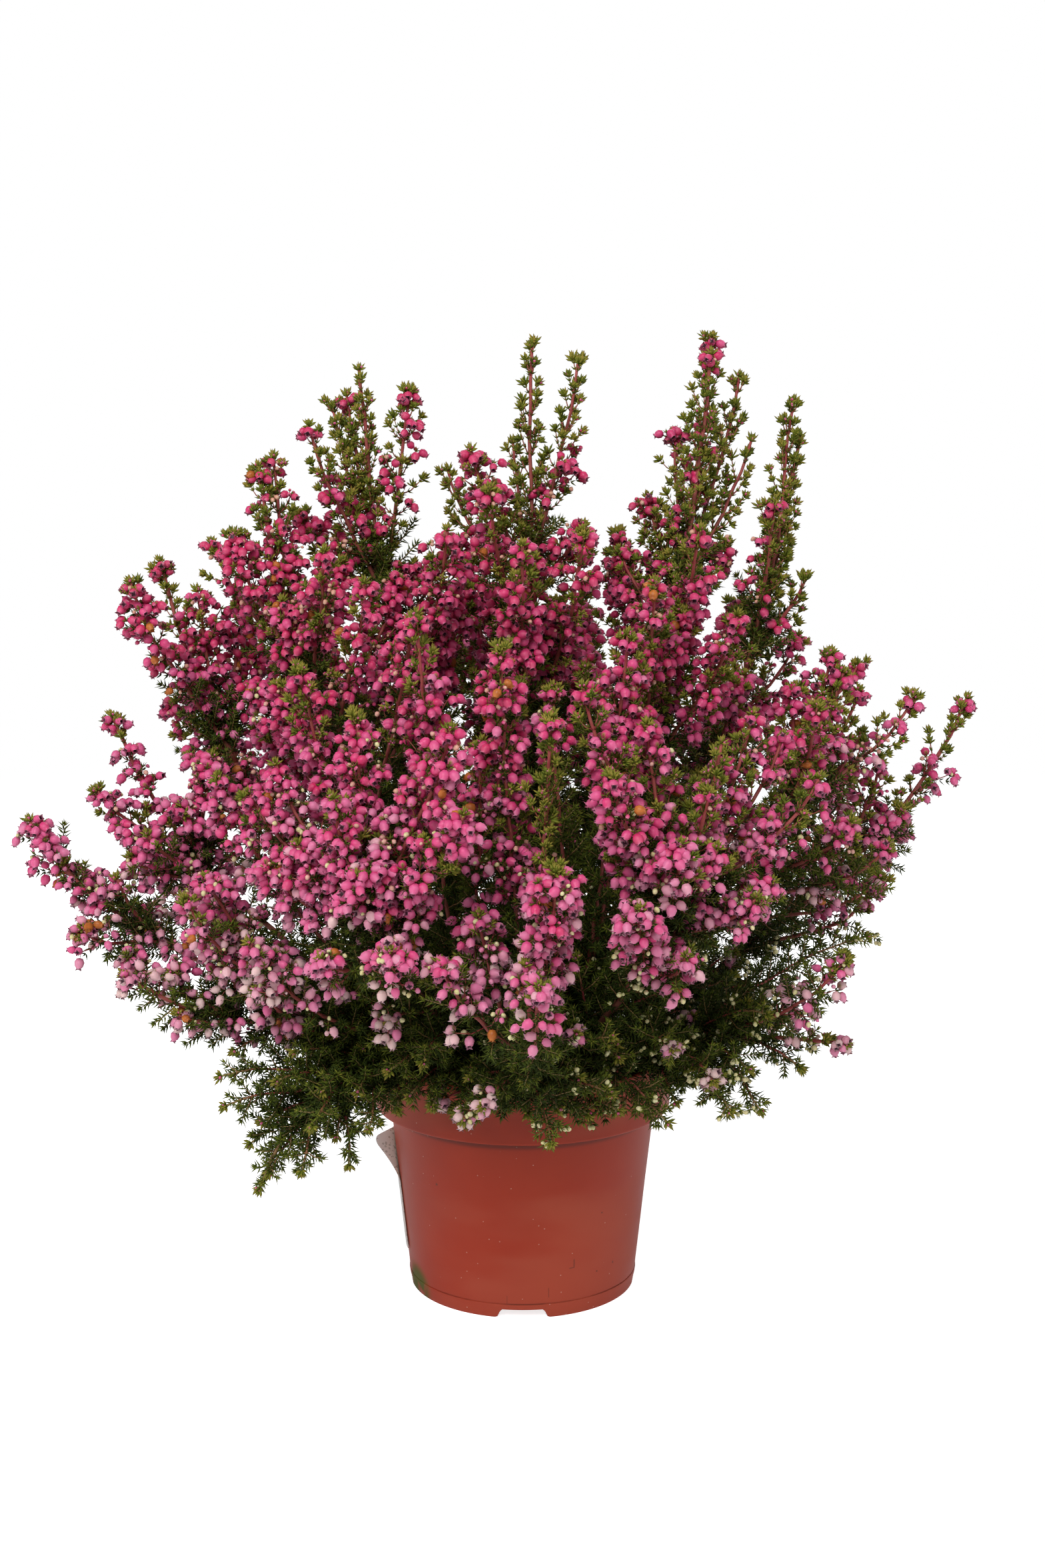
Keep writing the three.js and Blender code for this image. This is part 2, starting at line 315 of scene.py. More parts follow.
def turnedForm(profile, sides, wave=None):
    # a closed form turned about Z, base point first; wave(i, k) moves ring i's point k (out, along)
    points = [(0.0, 0.0, profile[0][1])]
    along = [0.0]
    rings = profile[1:-1]
    for i, (radius, height) in enumerate(rings):
        for k in range(sides):
            out, rise = wave(i, k) if wave else (1.0, 0.0)
            turn = 2 * math.pi * k / sides
            points.append((radius * out * math.cos(turn), radius * out * math.sin(turn), height + rise))
            along.append((i + 1) / (len(rings) + 1))
    points.append((0.0, 0.0, profile[-1][1]))
    along.append(1.0)
    faces, places = [], []
    step = 1.0 / (len(rings) + 1)
    for k in range(sides):
        a, b = k / sides, (k + 1) / sides
        nextK = (k + 1) % sides
        faces.append((0, 1 + nextK, 1 + k))
        places.append((((a + b) / 2, 0.0), (b, step), (a, step)))
        for i in range(len(rings) - 1):
            low, high = 1 + i * sides, 1 + (i + 1) * sides
            faces.append((low + k, low + nextK, high + nextK, high + k))
            v, w = (i + 1) * step, (i + 2) * step
            places.append(((a, v), (b, v), (b, w), (a, w)))
        top = 1 + (len(rings) - 1) * sides
        faces.append((top + k, top + nextK, len(points) - 1))
        places.append(((a, 1 - step), (b, 1 - step), ((a + b) / 2, 1.0)))
    corners, counts = cornersOf(faces)
    places = np.concatenate([np.array(place) for place in places])
    points, along = np.array(points), np.array(along)
    return {"points": points, "corners": corners, "counts": counts, "places": places, "along": along}


def tilesFor(count):
    # a square grid of UV tiles, one for each copy
    grid = max(1, math.ceil(math.sqrt(count)))
    number = np.arange(count)
    return np.stack((number % grid, number // grid), 1) / grid, 1.0 / grid


def copies(form, spots, ways, sizes, turns):
    # form copied to each spot with its Z axis along ways; sizes is (count, 3)
    count = len(spots)
    helper = np.where(np.abs(ways[:, 2:3]) < 0.9, up, np.array((1.0, 0.0, 0.0)))
    first = np.cross(helper, ways)
    first /= np.linalg.norm(first, axis=1, keepdims=True)
    second = np.cross(ways, first)
    c, s = np.cos(turns)[:, None], np.sin(turns)[:, None]
    across = c * first + s * second
    over = np.cross(ways, across)
    base = form["points"][None] * sizes[:, None, :]
    points = (
        spots[:, None, :]
        + base[..., 0:1] * across[:, None, :]
        + base[..., 1:2] * over[:, None, :]
        + base[..., 2:3] * ways[:, None, :]
    )
    shift, tile = tilesFor(count)
    inside = form["places"][None] * tile * tileLook["inside"]
    step = len(form["points"])
    return {
        "points": points.reshape(-1, 3),
        "corners": (form["corners"][None] + step * np.arange(count)[:, None]).ravel(),
        "counts": np.tile(form["counts"], count),
        "places": (inside + shift[:, None, :] + tileLook["edge"] * tile).reshape(-1, 2),
        "along": np.tile(form["along"], count),
        "each": step,
    }


def joined(parts):
    # several sets of copies in one, side by side in UV space
    shares = np.array([math.sqrt(len(part["points"])) for part in parts])
    edges = np.concatenate(([0.0], np.cumsum(shares / shares.sum())))
    moved = []
    start = 0
    for n, part in enumerate(parts):
        places = part["places"] * (edges[n + 1] - edges[n], 1.0) + (edges[n], 0.0)
        moved.append({**part, "corners": part["corners"] + start, "places": places})
        start += len(part["points"])
    whole = {key: np.concatenate([part[key] for part in moved]) for key in parts[0] if key != "each"}
    shape = {key: whole.pop(key) for key in ("points", "corners", "counts", "places")}
    return shape, whole


def tubesOf(tubes):
    # closed tubes; each is (points, radii, sides, age at its foot, age at its tip)
    points, corners, counts, places, ages, along = [], [], [], [], [], []
    shift, tile = tilesFor(len(tubes))
    start = 0
    for n, (line, radii, sides, footAge, tipAge) in enumerate(tubes):
        steps = len(line)
        ways = np.gradient(line, axis=0)
        ways /= np.linalg.norm(ways, axis=1, keepdims=True)
        side = np.cross(ways[0], skewed)
        turn = 2 * math.pi * np.arange(sides) / sides
        u0, v0 = shift[n] + tileLook["edge"] * tile
        wide = tileLook["inside"] * tile
        for i in range(steps):
            side = side - ways[i] * (side @ ways[i])
            side /= math.sqrt(side @ side)
            over = np.cross(ways[i], side)
            ring = np.outer(np.cos(turn), side) + np.outer(np.sin(turn), over)
            points.append(line[i] + radii[i] * ring)
            share = i / (steps - 1)
            ages.append(np.full(sides, footAge + (tipAge - footAge) * share))
            along.append(np.full(sides, share))
        for i in range(steps - 1):
            v, w = v0 + wide * i / (steps - 1), v0 + wide * (i + 1) / (steps - 1)
            for k in range(sides):
                nextK = (k + 1) % sides
                low, high = start + i * sides, start + (i + 1) * sides
                corners.extend((low + k, low + nextK, high + nextK, high + k))
                a, b = u0 + wide * k / sides, u0 + wide * (k + 1) / sides
                places.extend(((a, v), (b, v), (b, w), (a, w)))
                counts.append(4)
        last = start + (steps - 1) * sides
        corners.extend(start + k for k in reversed(range(sides)))
        corners.extend(last + k for k in range(sides))
        counts.extend((sides, sides))
        edge = tileLook["cap"] * tile
        for foot in (v0, v0 + wide):
            places.extend((u0 + edge * math.cos(t), foot + edge * math.sin(t)) for t in turn)
        start += steps * sides
    return {
        "points": np.concatenate(points),
        "corners": np.array(corners),
        "counts": np.array(counts),
        "places": np.array(places),
        "along": np.concatenate(along),
        "age": np.concatenate(ages),
    }


# the lines that the stems grow along, read from the frame

lineLook = {
    "foot": 4.5 * mm,  # reach of a stem's lowest ring
    "step": 1.5 * mm,
    "fine": 12,  # points between two rings, before the line is made even
    "bend": 0.36,  # how far a side shoot keeps its first direction, as a share of its reach
}


def stemLine(node):
    # centres of the stem's rings, from its foot to its tip
    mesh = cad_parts[node].data
    known, points, number = {}, [], []
    for vertex in mesh.vertices:
        key = tuple(round(c, 6) for c in vertex.co)
        if key not in known:
            known[key] = len(points)
            points.append(np.array(vertex.co))
        number.append(known[key])
    near = [set() for point in points]
    for edge in mesh.edges:
        a, b = (number[v] for v in edge.vertices)
        near[a].add(b)
        near[b].add(a)
    rim = Vector(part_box("pot")[1]).x
    inside = [i for i, point in enumerate(points) if math.hypot(point[0], point[1]) < rim]
    lowest = min(inside, key=lambda i: points[i][2])
    ring = [i for i, point in enumerate(points) if np.linalg.norm(point - points[lowest]) < lineLook["foot"]]
    done, centres = set(), []
    while ring:
        centres.append(np.mean([points[i] for i in ring], axis=0))
        done.update(ring)
        ring = sorted(set().union(*(near[i] for i in ring)) - done)
    return np.array(centres)


def smoothLine(centres):
    # an even, smooth line through the centres
    padded = np.concatenate(([2 * centres[0] - centres[1]], centres, [2 * centres[-1] - centres[-2]]))
    fine = []
    for i in range(1, len(padded) - 2):
        a, b, c, d = padded[i - 1 : i + 3]
        second, third = 2 * a - 5 * b + 4 * c - d, 3 * b - a - 3 * c + d
        for t in np.linspace(0, 1, lineLook["fine"], endpoint=False):
            fine.append(0.5 * (2 * b + (c - a) * t + second * t**2 + third * t**3))
    fine.append(padded[-2])
    return evenLine(np.array(fine))


def evenLine(points):
    lengths = np.concatenate(([0.0], np.cumsum(np.linalg.norm(np.diff(points, axis=0), axis=1))))
    wanted = np.linspace(0, lengths[-1], max(4, int(lengths[-1] / lineLook["step"])))
    line = np.stack([np.interp(wanted, lengths, points[:, k]) for k in range(3)], 1)
    ways = np.gradient(line, axis=0)
    ways /= np.linalg.norm(ways, axis=1, keepdims=True)
    return {"points": line, "ways": ways, "length": lengths[-1]}


def curveBetween(foot, footWay, tip, tipWay):
    reach = np.linalg.norm(tip - foot) * lineLook["bend"]
    handles = (foot, foot + footWay * reach, tip - tipWay * reach, tip)
    t = np.linspace(0, 1, 40)[:, None]
    weights = ((1 - t) ** 3, 3 * (1 - t) ** 2 * t, 3 * (1 - t) * t**2, t**3)
    return evenLine(sum(weight * handle for weight, handle in zip(weights, handles)))


def unit(vector):
    return vector / math.sqrt(vector @ vector)


def spotOn(line, share):
    place = share * (len(line["points"]) - 1)
    low = min(int(place), len(line["points"]) - 2)
    part = place - low
    point = line["points"][low] * (1 - part) + line["points"][low + 1] * part
    return point, line["ways"][low]


def aroundOf(way):
    first = unit(np.cross(way, skewed))
    return first, np.cross(way, first)


def twigWay(way, turn, lean):
    # a direction that leans away from way by so many degrees, to the side that turn says
    first, second = aroundOf(way)
    lean = math.radians(lean)
    return math.cos(lean) * way + math.sin(lean) * (math.cos(turn) * first + math.sin(turn) * second)


def clipped(value):
    return float(np.clip(value, 0, 1))


mains = {n: smoothLine(stemLine(f"stem_{n:02d}")) for n in range(1, 20)}
print("stem lines read:", len(mains), "from", round(min(m["length"] for m in mains.values()), 3), "m")


# how the heather grows

growth = {
    "whorlGap": 8.0 * mm,  # between whorls of flowering twigs
    "tuftGap": 8.5 * mm,  # between whorls of tufted twigs near a shoot's tip
    "leafGap": 7.0 * mm,  # between whorls of leafy twigs low down
    "flowerTwig": (6.5 * mm, 12.5 * mm),
    "tuftTwig": (7.0 * mm, 17.0 * mm),
    "leafTwig": (9.0 * mm, 19.0 * mm),
    "bell": 4.35 * mm,
    "bud": 1.9 * mm,
    "needle": 3.9 * mm,
    "wander": 1.1 * mm,  # how far a shoot strays from its smooth line
    "mostSides": 26,  # side shoots on one main shoot
    "crowding": 0.022,  # how much each one there puts off the next
    "paleBelow": 0.145,  # height where bells are nearly white
    "deepAbove": 0.31,  # height where they are deep magenta
    "withered": 0.006,  # share of bells that have turned brown
    "spent": 0.24,  # and how many more where a whole group has
}

# green: share of the shoot at its tip with tufts and no bells; from: where its bells start
mainLook = {
    1: {"green": 0.36, "from": 0.44, "pink": False},
    2: {"green": 0.26, "from": 0.42},
    3: {"green": 0.14, "from": 0.42},
    4: {"green": 0.06, "from": 0.42, "slender": 0.7},
    5: {"green": 0.10, "from": 0.45, "slender": 0.65},
    6: {"green": 0.05, "from": 0.5},
    7: {"green": 1.0, "from": 1.0, "leafy": True},
    8: {"green": 0.48, "from": 0.42, "pink": False},
    9: {"green": 0.38, "from": 0.42},
    10: {"green": 0.56, "from": 0.42, "pink": False, "slender": 0.75},
    11: {"green": 0.10, "from": 0.42},
    12: {"green": 0.14, "from": 0.45},
    13: {"green": 0.10, "from": 0.72, "slender": 0.5},
    14: {"green": 0.12, "from": 0.45},
    15: {"green": 0.06, "from": 0.45},
    16: {"green": 0.08, "from": 0.8},
    17: {"green": 0.08, "from": 0.40},
    18: {"green": 0.14, "from": 0.40},
    19: {"green": 0.06, "from": 0.40},
}

# side shoots: tip in millimetres, then the green share of its tip
sideShoots = [
    (-89, 0, 371, 0.30), (-103, -10, 358, 0.22), (-119, -20, 326, 0.12), (-160, -30, 308, 0.12),
    (-176, -30, 222, 0.08), (-48, 10, 386, 0.14), (-33, 55, 352, 0.45), (-21, -20, 361, 0.08),
    (-13, -50, 346, 0.25), (23, 5, 397, 0.42), (80, 22, 407, 0.30), (93, 30, 392, 0.58),
    (106, 0, 340, 0.30), (42, 20, 318, 0.05), (128, -20, 278, 0.08), (147, 30, 268, 0.30),
    (168, 10, 256, 0.16), (66, 35, 368, 0.06), (115, 20, 381, 0.60), (112, 18, 345, 0.7),
    (-159, -60, 160, 0.05), (-178, -60, 170, 0.05), (-138, -72, 138, 0.05), (-202, -40, 211, 0.08),
    (-75, 25, 384, 0.36), (-132, 10, 322, 0.16), (-28, 40, 322, 0.10), (-4, 30, 364, 0.55),
    (74, -118, 254, 0.45), (10, -138, 266, 0.35), (-21, -158, 234, 0.05), (32, -150, 246, 0.04),
    (-47, -160, 185, 0.04), (57, -150, 222, 0.04), (113, -100, 238, 0.10), (-96, -112, 206, 0.05),
    (-118, -86, 236, 0.06), (-40, -96, 300, 0.12), (40, -92, 292, 0.10), (-78, -60, 322, 0.20),
    (70, -55, 330, 0.15), (0, -70, 325, 0.12), (132, -60, 214, 0.06), (150, -40, 200, 0.08),
    (-98, -30, 300, 0.10), (14, -30, 300, 0.10), (30, 80, 300, 0.10), (60, 10, 315, 0.05),
    (-90, 80, 300, 0.10), (98, 95, 290, 0.14), (-140, 60, 240, 0.06), (150, 80, 215, 0.08),
    (-60, 130, 235, 0.06), (60, 140, 228, 0.05), (-110, 120, 190, 0.05), (112, 128, 185, 0.05),
    (-30, 165, 190, 0.05), (38, 168, 180, 0.05), (-168, 40, 180, 0.05), (172, 60, 190, 0.05),
    (-10, 110, 300, 0.10), (-120, 20, 300, 0.10), (165, 20, 205, 0.15), (148, -5, 172, 0.25),
    (-150, 10, 252, 0.06), (-142, 0, 232, 0.05), (-161, -40, 196, 0.05), (-138, 5, 302, 0.10),
    (-94, 15, 334, 0.10), (121, 10, 308, 0.55), (143, 0, 260, 0.15), (155, 15, 226, 0.10),
    (-81, 25, 379, 0.5), (54, 25, 341, 0.05), (86, 15, 320, 0.20), (98, 25, 365, 0.60),
    # the middle of the front
    (-104, -100, 232, 0.05), (-84, -120, 216, 0.04), (-62, -112, 262, 0.05), (-60, -140, 208, 0.04),
    (-40, -128, 240, 0.05), (-26, -140, 262, 0.06), (-8, -120, 288, 0.08), (12, -160, 214, 0.04),
    (22, -128, 276, 0.10), (46, -124, 262, 0.06), (42, -160, 200, 0.04), (72, -128, 216, 0.05),
    (88, -96, 262, 0.10), (94, -112, 200, 0.05), (-86, -84, 276, 0.06), (-62, -66, 310, 0.10),
    (-30, -150, 178, 0.03), (60, -140, 178, 0.04), (-28, 30, 290, 0.08), (-32, 0, 268, 0.05),
    (28, 30, 262, 0.05), (10, 0, 280, 0.08), (-74, -136, 176, 0.03), (-104, -110, 176, 0.03),
    (-124, -84, 196, 0.04), (52, -64, 310, 0.12), (24, -60, 330, 0.14), (-30, -50, 330, 0.10),
    (86, -50, 296, 0.12), (116, -70, 262, 0.12),
    # behind them
    (-27, 60, 300, 0.08), (-22, 90, 285, 0.08), (-30, -20, 302, 0.10), (-24, 30, 312, 0.08),
    (22, 70, 285, 0.08), (30, 40, 268, 0.08), (12, -60, 268, 0.08), (28, 95, 262, 0.08),
    # low on the left
    (-152, -50, 207, 0.05), (-132, -60, 186, 0.04), (-166, -45, 188, 0.05), (-122, -72, 166, 0.03),
    (-142, -62, 152, 0.03), (-104, -84, 152, 0.03), (-118, 20, 275, 0.08), (-112, -22, 262, 0.06),
    (-128, -30, 236, 0.05),
    # low in the middle of the front
    (-38, -128, 200, 0.04), (-16, -134, 192, 0.04), (-58, -112, 190, 0.04),
]

# leafy sprays without flowers: tip in millimetres
leafySprays = [
    (-120, -80, 115), (-101, -85, 77), (-87, -95, 81), (-69, -90, 82), (-60, -100, 100), (-110, -70, 84),
    (-117, -90, 106), (-81, -110, 104), (-65, -92, 112), (-117, -60, 120), (-92, -70, 96),
    (-78, -60, 118), (113, -60, 113), (96, -70, 98), (82, -90, 104), (77, -60, 102), (57, -92, 100),
    (-134, -30, 128), (-100, 20, 112), (100, 20, 116), (-60, 90, 112), (60, 92, 110), (0, 100, 112),
    (-96, 62, 116), (98, 60, 118), (-20, -92, 118), (22, -92, 118), (-45, -84, 108), (-58, -66, 104),
    (-50, -78, 101), (-36, -84, 104), (-26, -80, 100), (-12, -86, 104), (2, -84, 101), (14, -88, 104),
    (26, -82, 100), (38, -84, 102), (50, -76, 98), (62, -66, 100), (-8, -100, 116), (34, -100, 114),
    (-100, -50, 132), (-90, -84, 126), (-112, -40, 142), (-75, -72, 130), (-126, -52, 142),
    (-96, -96, 118), (-84, -60, 106), (-104, -78, 96), (-74, -84, 92), (-64, -70, 124), (-52, -96, 122),
    (90, -80, 118), (70, -50, 104), (-68, -48, 106), (145, -20, 158), (152, 20, 178), (-30, 40, 192),
    (-10, 60, 186), (-52, 50, 186), (-20, 20, 204), (12, 30, 192), (-36, -10, 184), (-28, 10, 278),
    (-27, 50, 282), (-30, 30, 264),
]

# more shoots whose tips are spread over a dome, in metres; start is where they start round, in radians
domeLook = {
    "count": 40, "centre": 0.135, "high": 0.21, "wide": 0.172, "deep": 0.155,
    "steepest": 82.0, "start": 0.0, "size": (0.88, 1.0),
}
fillLook = {
    "count": 84, "centre": 0.1, "high": 0.205, "wide": 0.125, "deep": 0.095,
    "steepest": 86.0, "start": 1.0, "size": (0.6, 1.0),
}
backShoots = {"count": 34, "low": 0.2, "high": 0.335, "wide": 0.135, "near": -0.02, "far": 0.12}
skirtLook = {"count": 64, "near": 0.074, "far": 0.125, "low": 0.098, "high": 0.15, "leafy": 0.45}
spiralStep = 2.39996  # turn from one shoot to the next, in radians, so that none line up

# span: the part of a main shoot that they leave; toward, rise: how they bend at the foot and at the tip;
# from: where their twigs start
thinSides = {"span": (0.08, 0.66), "toward": 0.5, "radii": (0.7 * mm, 0.4 * mm), "from": 0.12}
skirtSides = {"span": (0.12, 0.4), "toward": 1.0, "radii": (0.55 * mm, 0.35 * mm), "from": 0.15}
sideLooks = {
    "flowering": {**thinSides, "rise": 0.8, "radii": (1.1 * mm, 0.6 * mm)},
    "spray": {**thinSides, "rise": -0.25},
    "inside": {**thinSides, "rise": 0.3},
    "skirt": {**skirtSides, "rise": -0.4},
}

kinds = ("tubes", "pedicels", "needles", "tufts", "bells", "buds")
homes = {n: {kind: [] for kind in kinds} for n in mains}


def toneAt(height):
    share = (height - growth["paleBelow"]) / (growth["deepAbove"] - growth["paleBelow"])
    return clipped(0.82 - 0.8 * share)


def addNeedles(home, foot, way, length, gap, size, spread, tone, form="needles"):
    count = max(1, round(length / gap))
    first, second = aroundOf(way)
    row = np.repeat(np.arange(count), 4)
    turn = row * 0.79 + np.tile(np.arange(4), count) * math.pi / 2 + dice.uniform(0, 6.28, 4 * count) * 0.12
    lean = np.radians(spread) * dice.uniform(0.8, 1.2, 4 * count)
    aside = np.cos(turn)[:, None] * first + np.sin(turn)[:, None] * second
    ways = np.cos(lean)[:, None] * way + np.sin(lean)[:, None] * aside
    spots = foot + way * (length * (row + 0.5) / count)[:, None]
    sizes = size * dice.uniform(0.8, 1.15, 4 * count)
    tones = tone + dice.uniform(-0.17, 0.17, 4 * count)
    home[form].append((spots, ways, sizes, tones))


def addTwig(home, points, radius, middle, ages):
    # a four-sided twig through three points; middle is its share of the radius half way
    radii = (radius, radius * middle, radius * 0.6)
    home["tubes"].append((np.array(points), radii, 4, *ages))


def addCluster(home, spot, way, count, tone, size, slim, unripe):
    start = dice.uniform(0, 6.28)
    spent = noise.noise(Vector(spot) / 0.018 + Vector((7.0, 0.0, 0.0)))
    withered = growth["withered"] + growth["spent"] * clipped((spent - 0.38) / 0.2)
    for k in range(count):
        turn = start + 2 * math.pi * k / count + dice.uniform(-0.3, 0.3)
        out = twigWay(way, turn, dice.uniform(42, 88))
        reach = dice.uniform(1.3, 2.6) * mm
        face = unit(out * 0.9 - up * dice.uniform(0.45, 1.0) + dice.uniform(-0.3, 0.3, 3))
        seat = spot + out * reach
        home["pedicels"].append((spot, out, reach))
        if dice.random() < unripe:
            wide = growth["bud"] * dice.uniform(0.7, 1.35)
            age = (0.2 if tone < 0.45 else 0.45) if dice.random() < 0.5 else 0.0
            home["buds"].append((seat, face, wide, tone + dice.uniform(-0.1, 0.1), age))
        else:
            age = 1.0 if dice.random() < withered else 0.0
            length = size * dice.uniform(0.85, 1.12)
            home["bells"].append((seat, face, (length * slim, length), tone + dice.normal() * 0.13, age))


def addTuft(home, spot, way, size, tone, buds):
    # a cup of short leaves round the end of a twig
    for spread, share in ((62, 0.8), (38, 1.0), (14, 0.95)):
        addNeedles(home, spot - way * 0.4 * mm, way, 0.8 * mm, 1.0 * mm, size * share, spread, tone, "tufts")
    for k in range(buds):
        face = unit(way + dice.uniform(-0.7, 0.7, 3))
        wide = growth["bud"] * dice.uniform(0.55, 0.85)
        home["buds"].append((spot + face * 1.0 * mm, face, wide, 0.1 + 0.5 * dice.random(), 0.0))


def insideShare(spot):
    # 1 deep inside the crown, 0 near its surface
    x, y, z = spot
    rise = (z - domeLook["centre"]) / domeLook["high"]
    out = math.sqrt((x / domeLook["wide"]) ** 2 + (y / domeLook["deep"]) ** 2 + rise**2)
    return clipped((0.72 - out) / 0.16)


def greenShare(spot):
    # how many of the twigs here carry only leaves: more on the right, most low down
    x, y, z = spot
    low = clipped((0.175 - z) / 0.07)
    right = clipped((x - 0.04) / 0.08) * clipped((z - 0.12) / 0.06)
    patch = noise.noise(Vector(spot) / 0.035)
    high = clipped((z - 0.26) / 0.06)
    return 0.2 + 0.58 * low + 0.45 * right + 0.15 * high + 0.45 * patch + 0.8 * insideShare(spot)


def creamShare(spot):
    # how many of the leafy twigs here end in cream buds: most low down at the front, on the right
    x, y, z = spot
    return 0.22 * clipped((x + 0.03) / 0.06) * clipped((0.19 - z) / 0.04) if y < 0.03 else 0.05


def leafTone(height, share):
    return 0.1 + 0.4 * share**2 + 0.2 * min(1.0, max(0.0, height - 0.12) / 0.2)


def leafyTwig(home, foot, way, length, share):
    # a twig with needles all along it, in two straight stretches
    half = length / 2
    needle = growth["needle"]
    tone = leafTone(foot[2], share)
    bent = unit(way + up * dice.uniform(0.0, 0.45) + dice.uniform(-0.15, 0.15, 3))
    middle = foot + way * half
    tip = middle + bent * half
    addTwig(home, (foot, middle, tip), 0.32 * mm, 0.9, (0.12, 0.0))
    addNeedles(home, foot + way * 1.0 * mm, way, half - 1.0 * mm, 1.8 * mm, needle * 1.08, 60, tone)
    addNeedles(home, middle, bent, half, 1.5 * mm, needle, 52, tone + 0.1)
    addNeedles(home, tip - bent * 0.6 * mm, bent, 0.6 * mm, 0.6 * mm, needle * 0.7, 22, tone + 0.25)
    if dice.random() < creamShare(tip):
        for k in range(int(dice.integers(1, 5))):
            out = unit(bent + dice.uniform(-1.2, 1.2, 3) - up * 0.3)
            seat = tip - bent * dice.uniform(0.0, 3.5) * mm + out * 1.2 * mm
            home["buds"].append((seat, out, growth["bud"] * dice.uniform(0.8, 1.4), 1.0, 0.5))


def flowerTwig(home, foot, way, length, green):
    # a twig with a cluster of bells at its end and, if it is long, another half way
    middle = foot + way * length * 0.5
    tip = foot + unit(way + up * 0.25) * length
    bent = unit(tip - middle)
    needle = growth["needle"] * 0.8
    addTwig(home, (foot, middle, tip), 0.36 * mm, 0.85, (0.27, 0.23))
    addNeedles(home, foot, way, length, 2.6 * mm, needle, 48, leafTone(foot[2], 0.5))
    low = toneAt(tip[2])
    tone = low + dice.normal() * 0.11
    size = growth["bell"] * (1.0 + 0.08 * low)
    slim = 0.92 - 0.1 * low
    unripe = 0.25 + (0.45 if green and dice.random() < 0.4 else 0.0)
    unripe += 0.3 if dice.random() < 0.5 * low else 0.0
    most = 7 if foot[2] > 0.17 else 5
    addCluster(home, tip, bent, int(dice.integers(3, most)), tone, size, slim, unripe)
    addNeedles(home, tip - bent * 0.5 * mm, bent, 0.5 * mm, 0.5 * mm, needle, 40, leafTone(foot[2], 0.9))
    if length > 9.5 * mm:
        addCluster(home, middle, way, int(dice.integers(2, 4)), tone, size, slim, unripe)


def tuftTwig(home, foot, way, length):
    # a side branch that carries a tuft at its end and, if it is long, one or two more below
    half = length / 2
    bent = unit(way + up * 0.55)
    middle = foot + way * half
    tip = middle + bent * half
    needle = growth["needle"]
    addTwig(home, (foot, middle, tip), 0.34 * mm, 0.85, (0.28, 0.16))
    tone = 0.68 + dice.uniform(-0.16, 0.16)
    addNeedles(home, foot, way, half, 2.8 * mm, needle * 0.66, 34, tone - 0.12)
    addNeedles(home, middle, bent, half, 2.8 * mm, needle * 0.66, 34, tone)
    buds = int(dice.integers(1, 5)) if dice.random() < 0.55 else 0
    addTuft(home, tip, bent, needle * dice.uniform(0.9, 1.2), tone + 0.08, buds)
    for reach, start in ((10 * mm, middle), (14 * mm, foot + way * half * 0.5)):
        if length > reach:
            out = unit(bent + dice.uniform(-0.8, 0.8, 3))
            spot = start + out * 2.2 * mm
            buds = int(dice.integers(1, 4)) if dice.random() < 0.4 else 0
            addTuft(home, spot, out, needle * dice.uniform(0.75, 1.0), tone, buds)


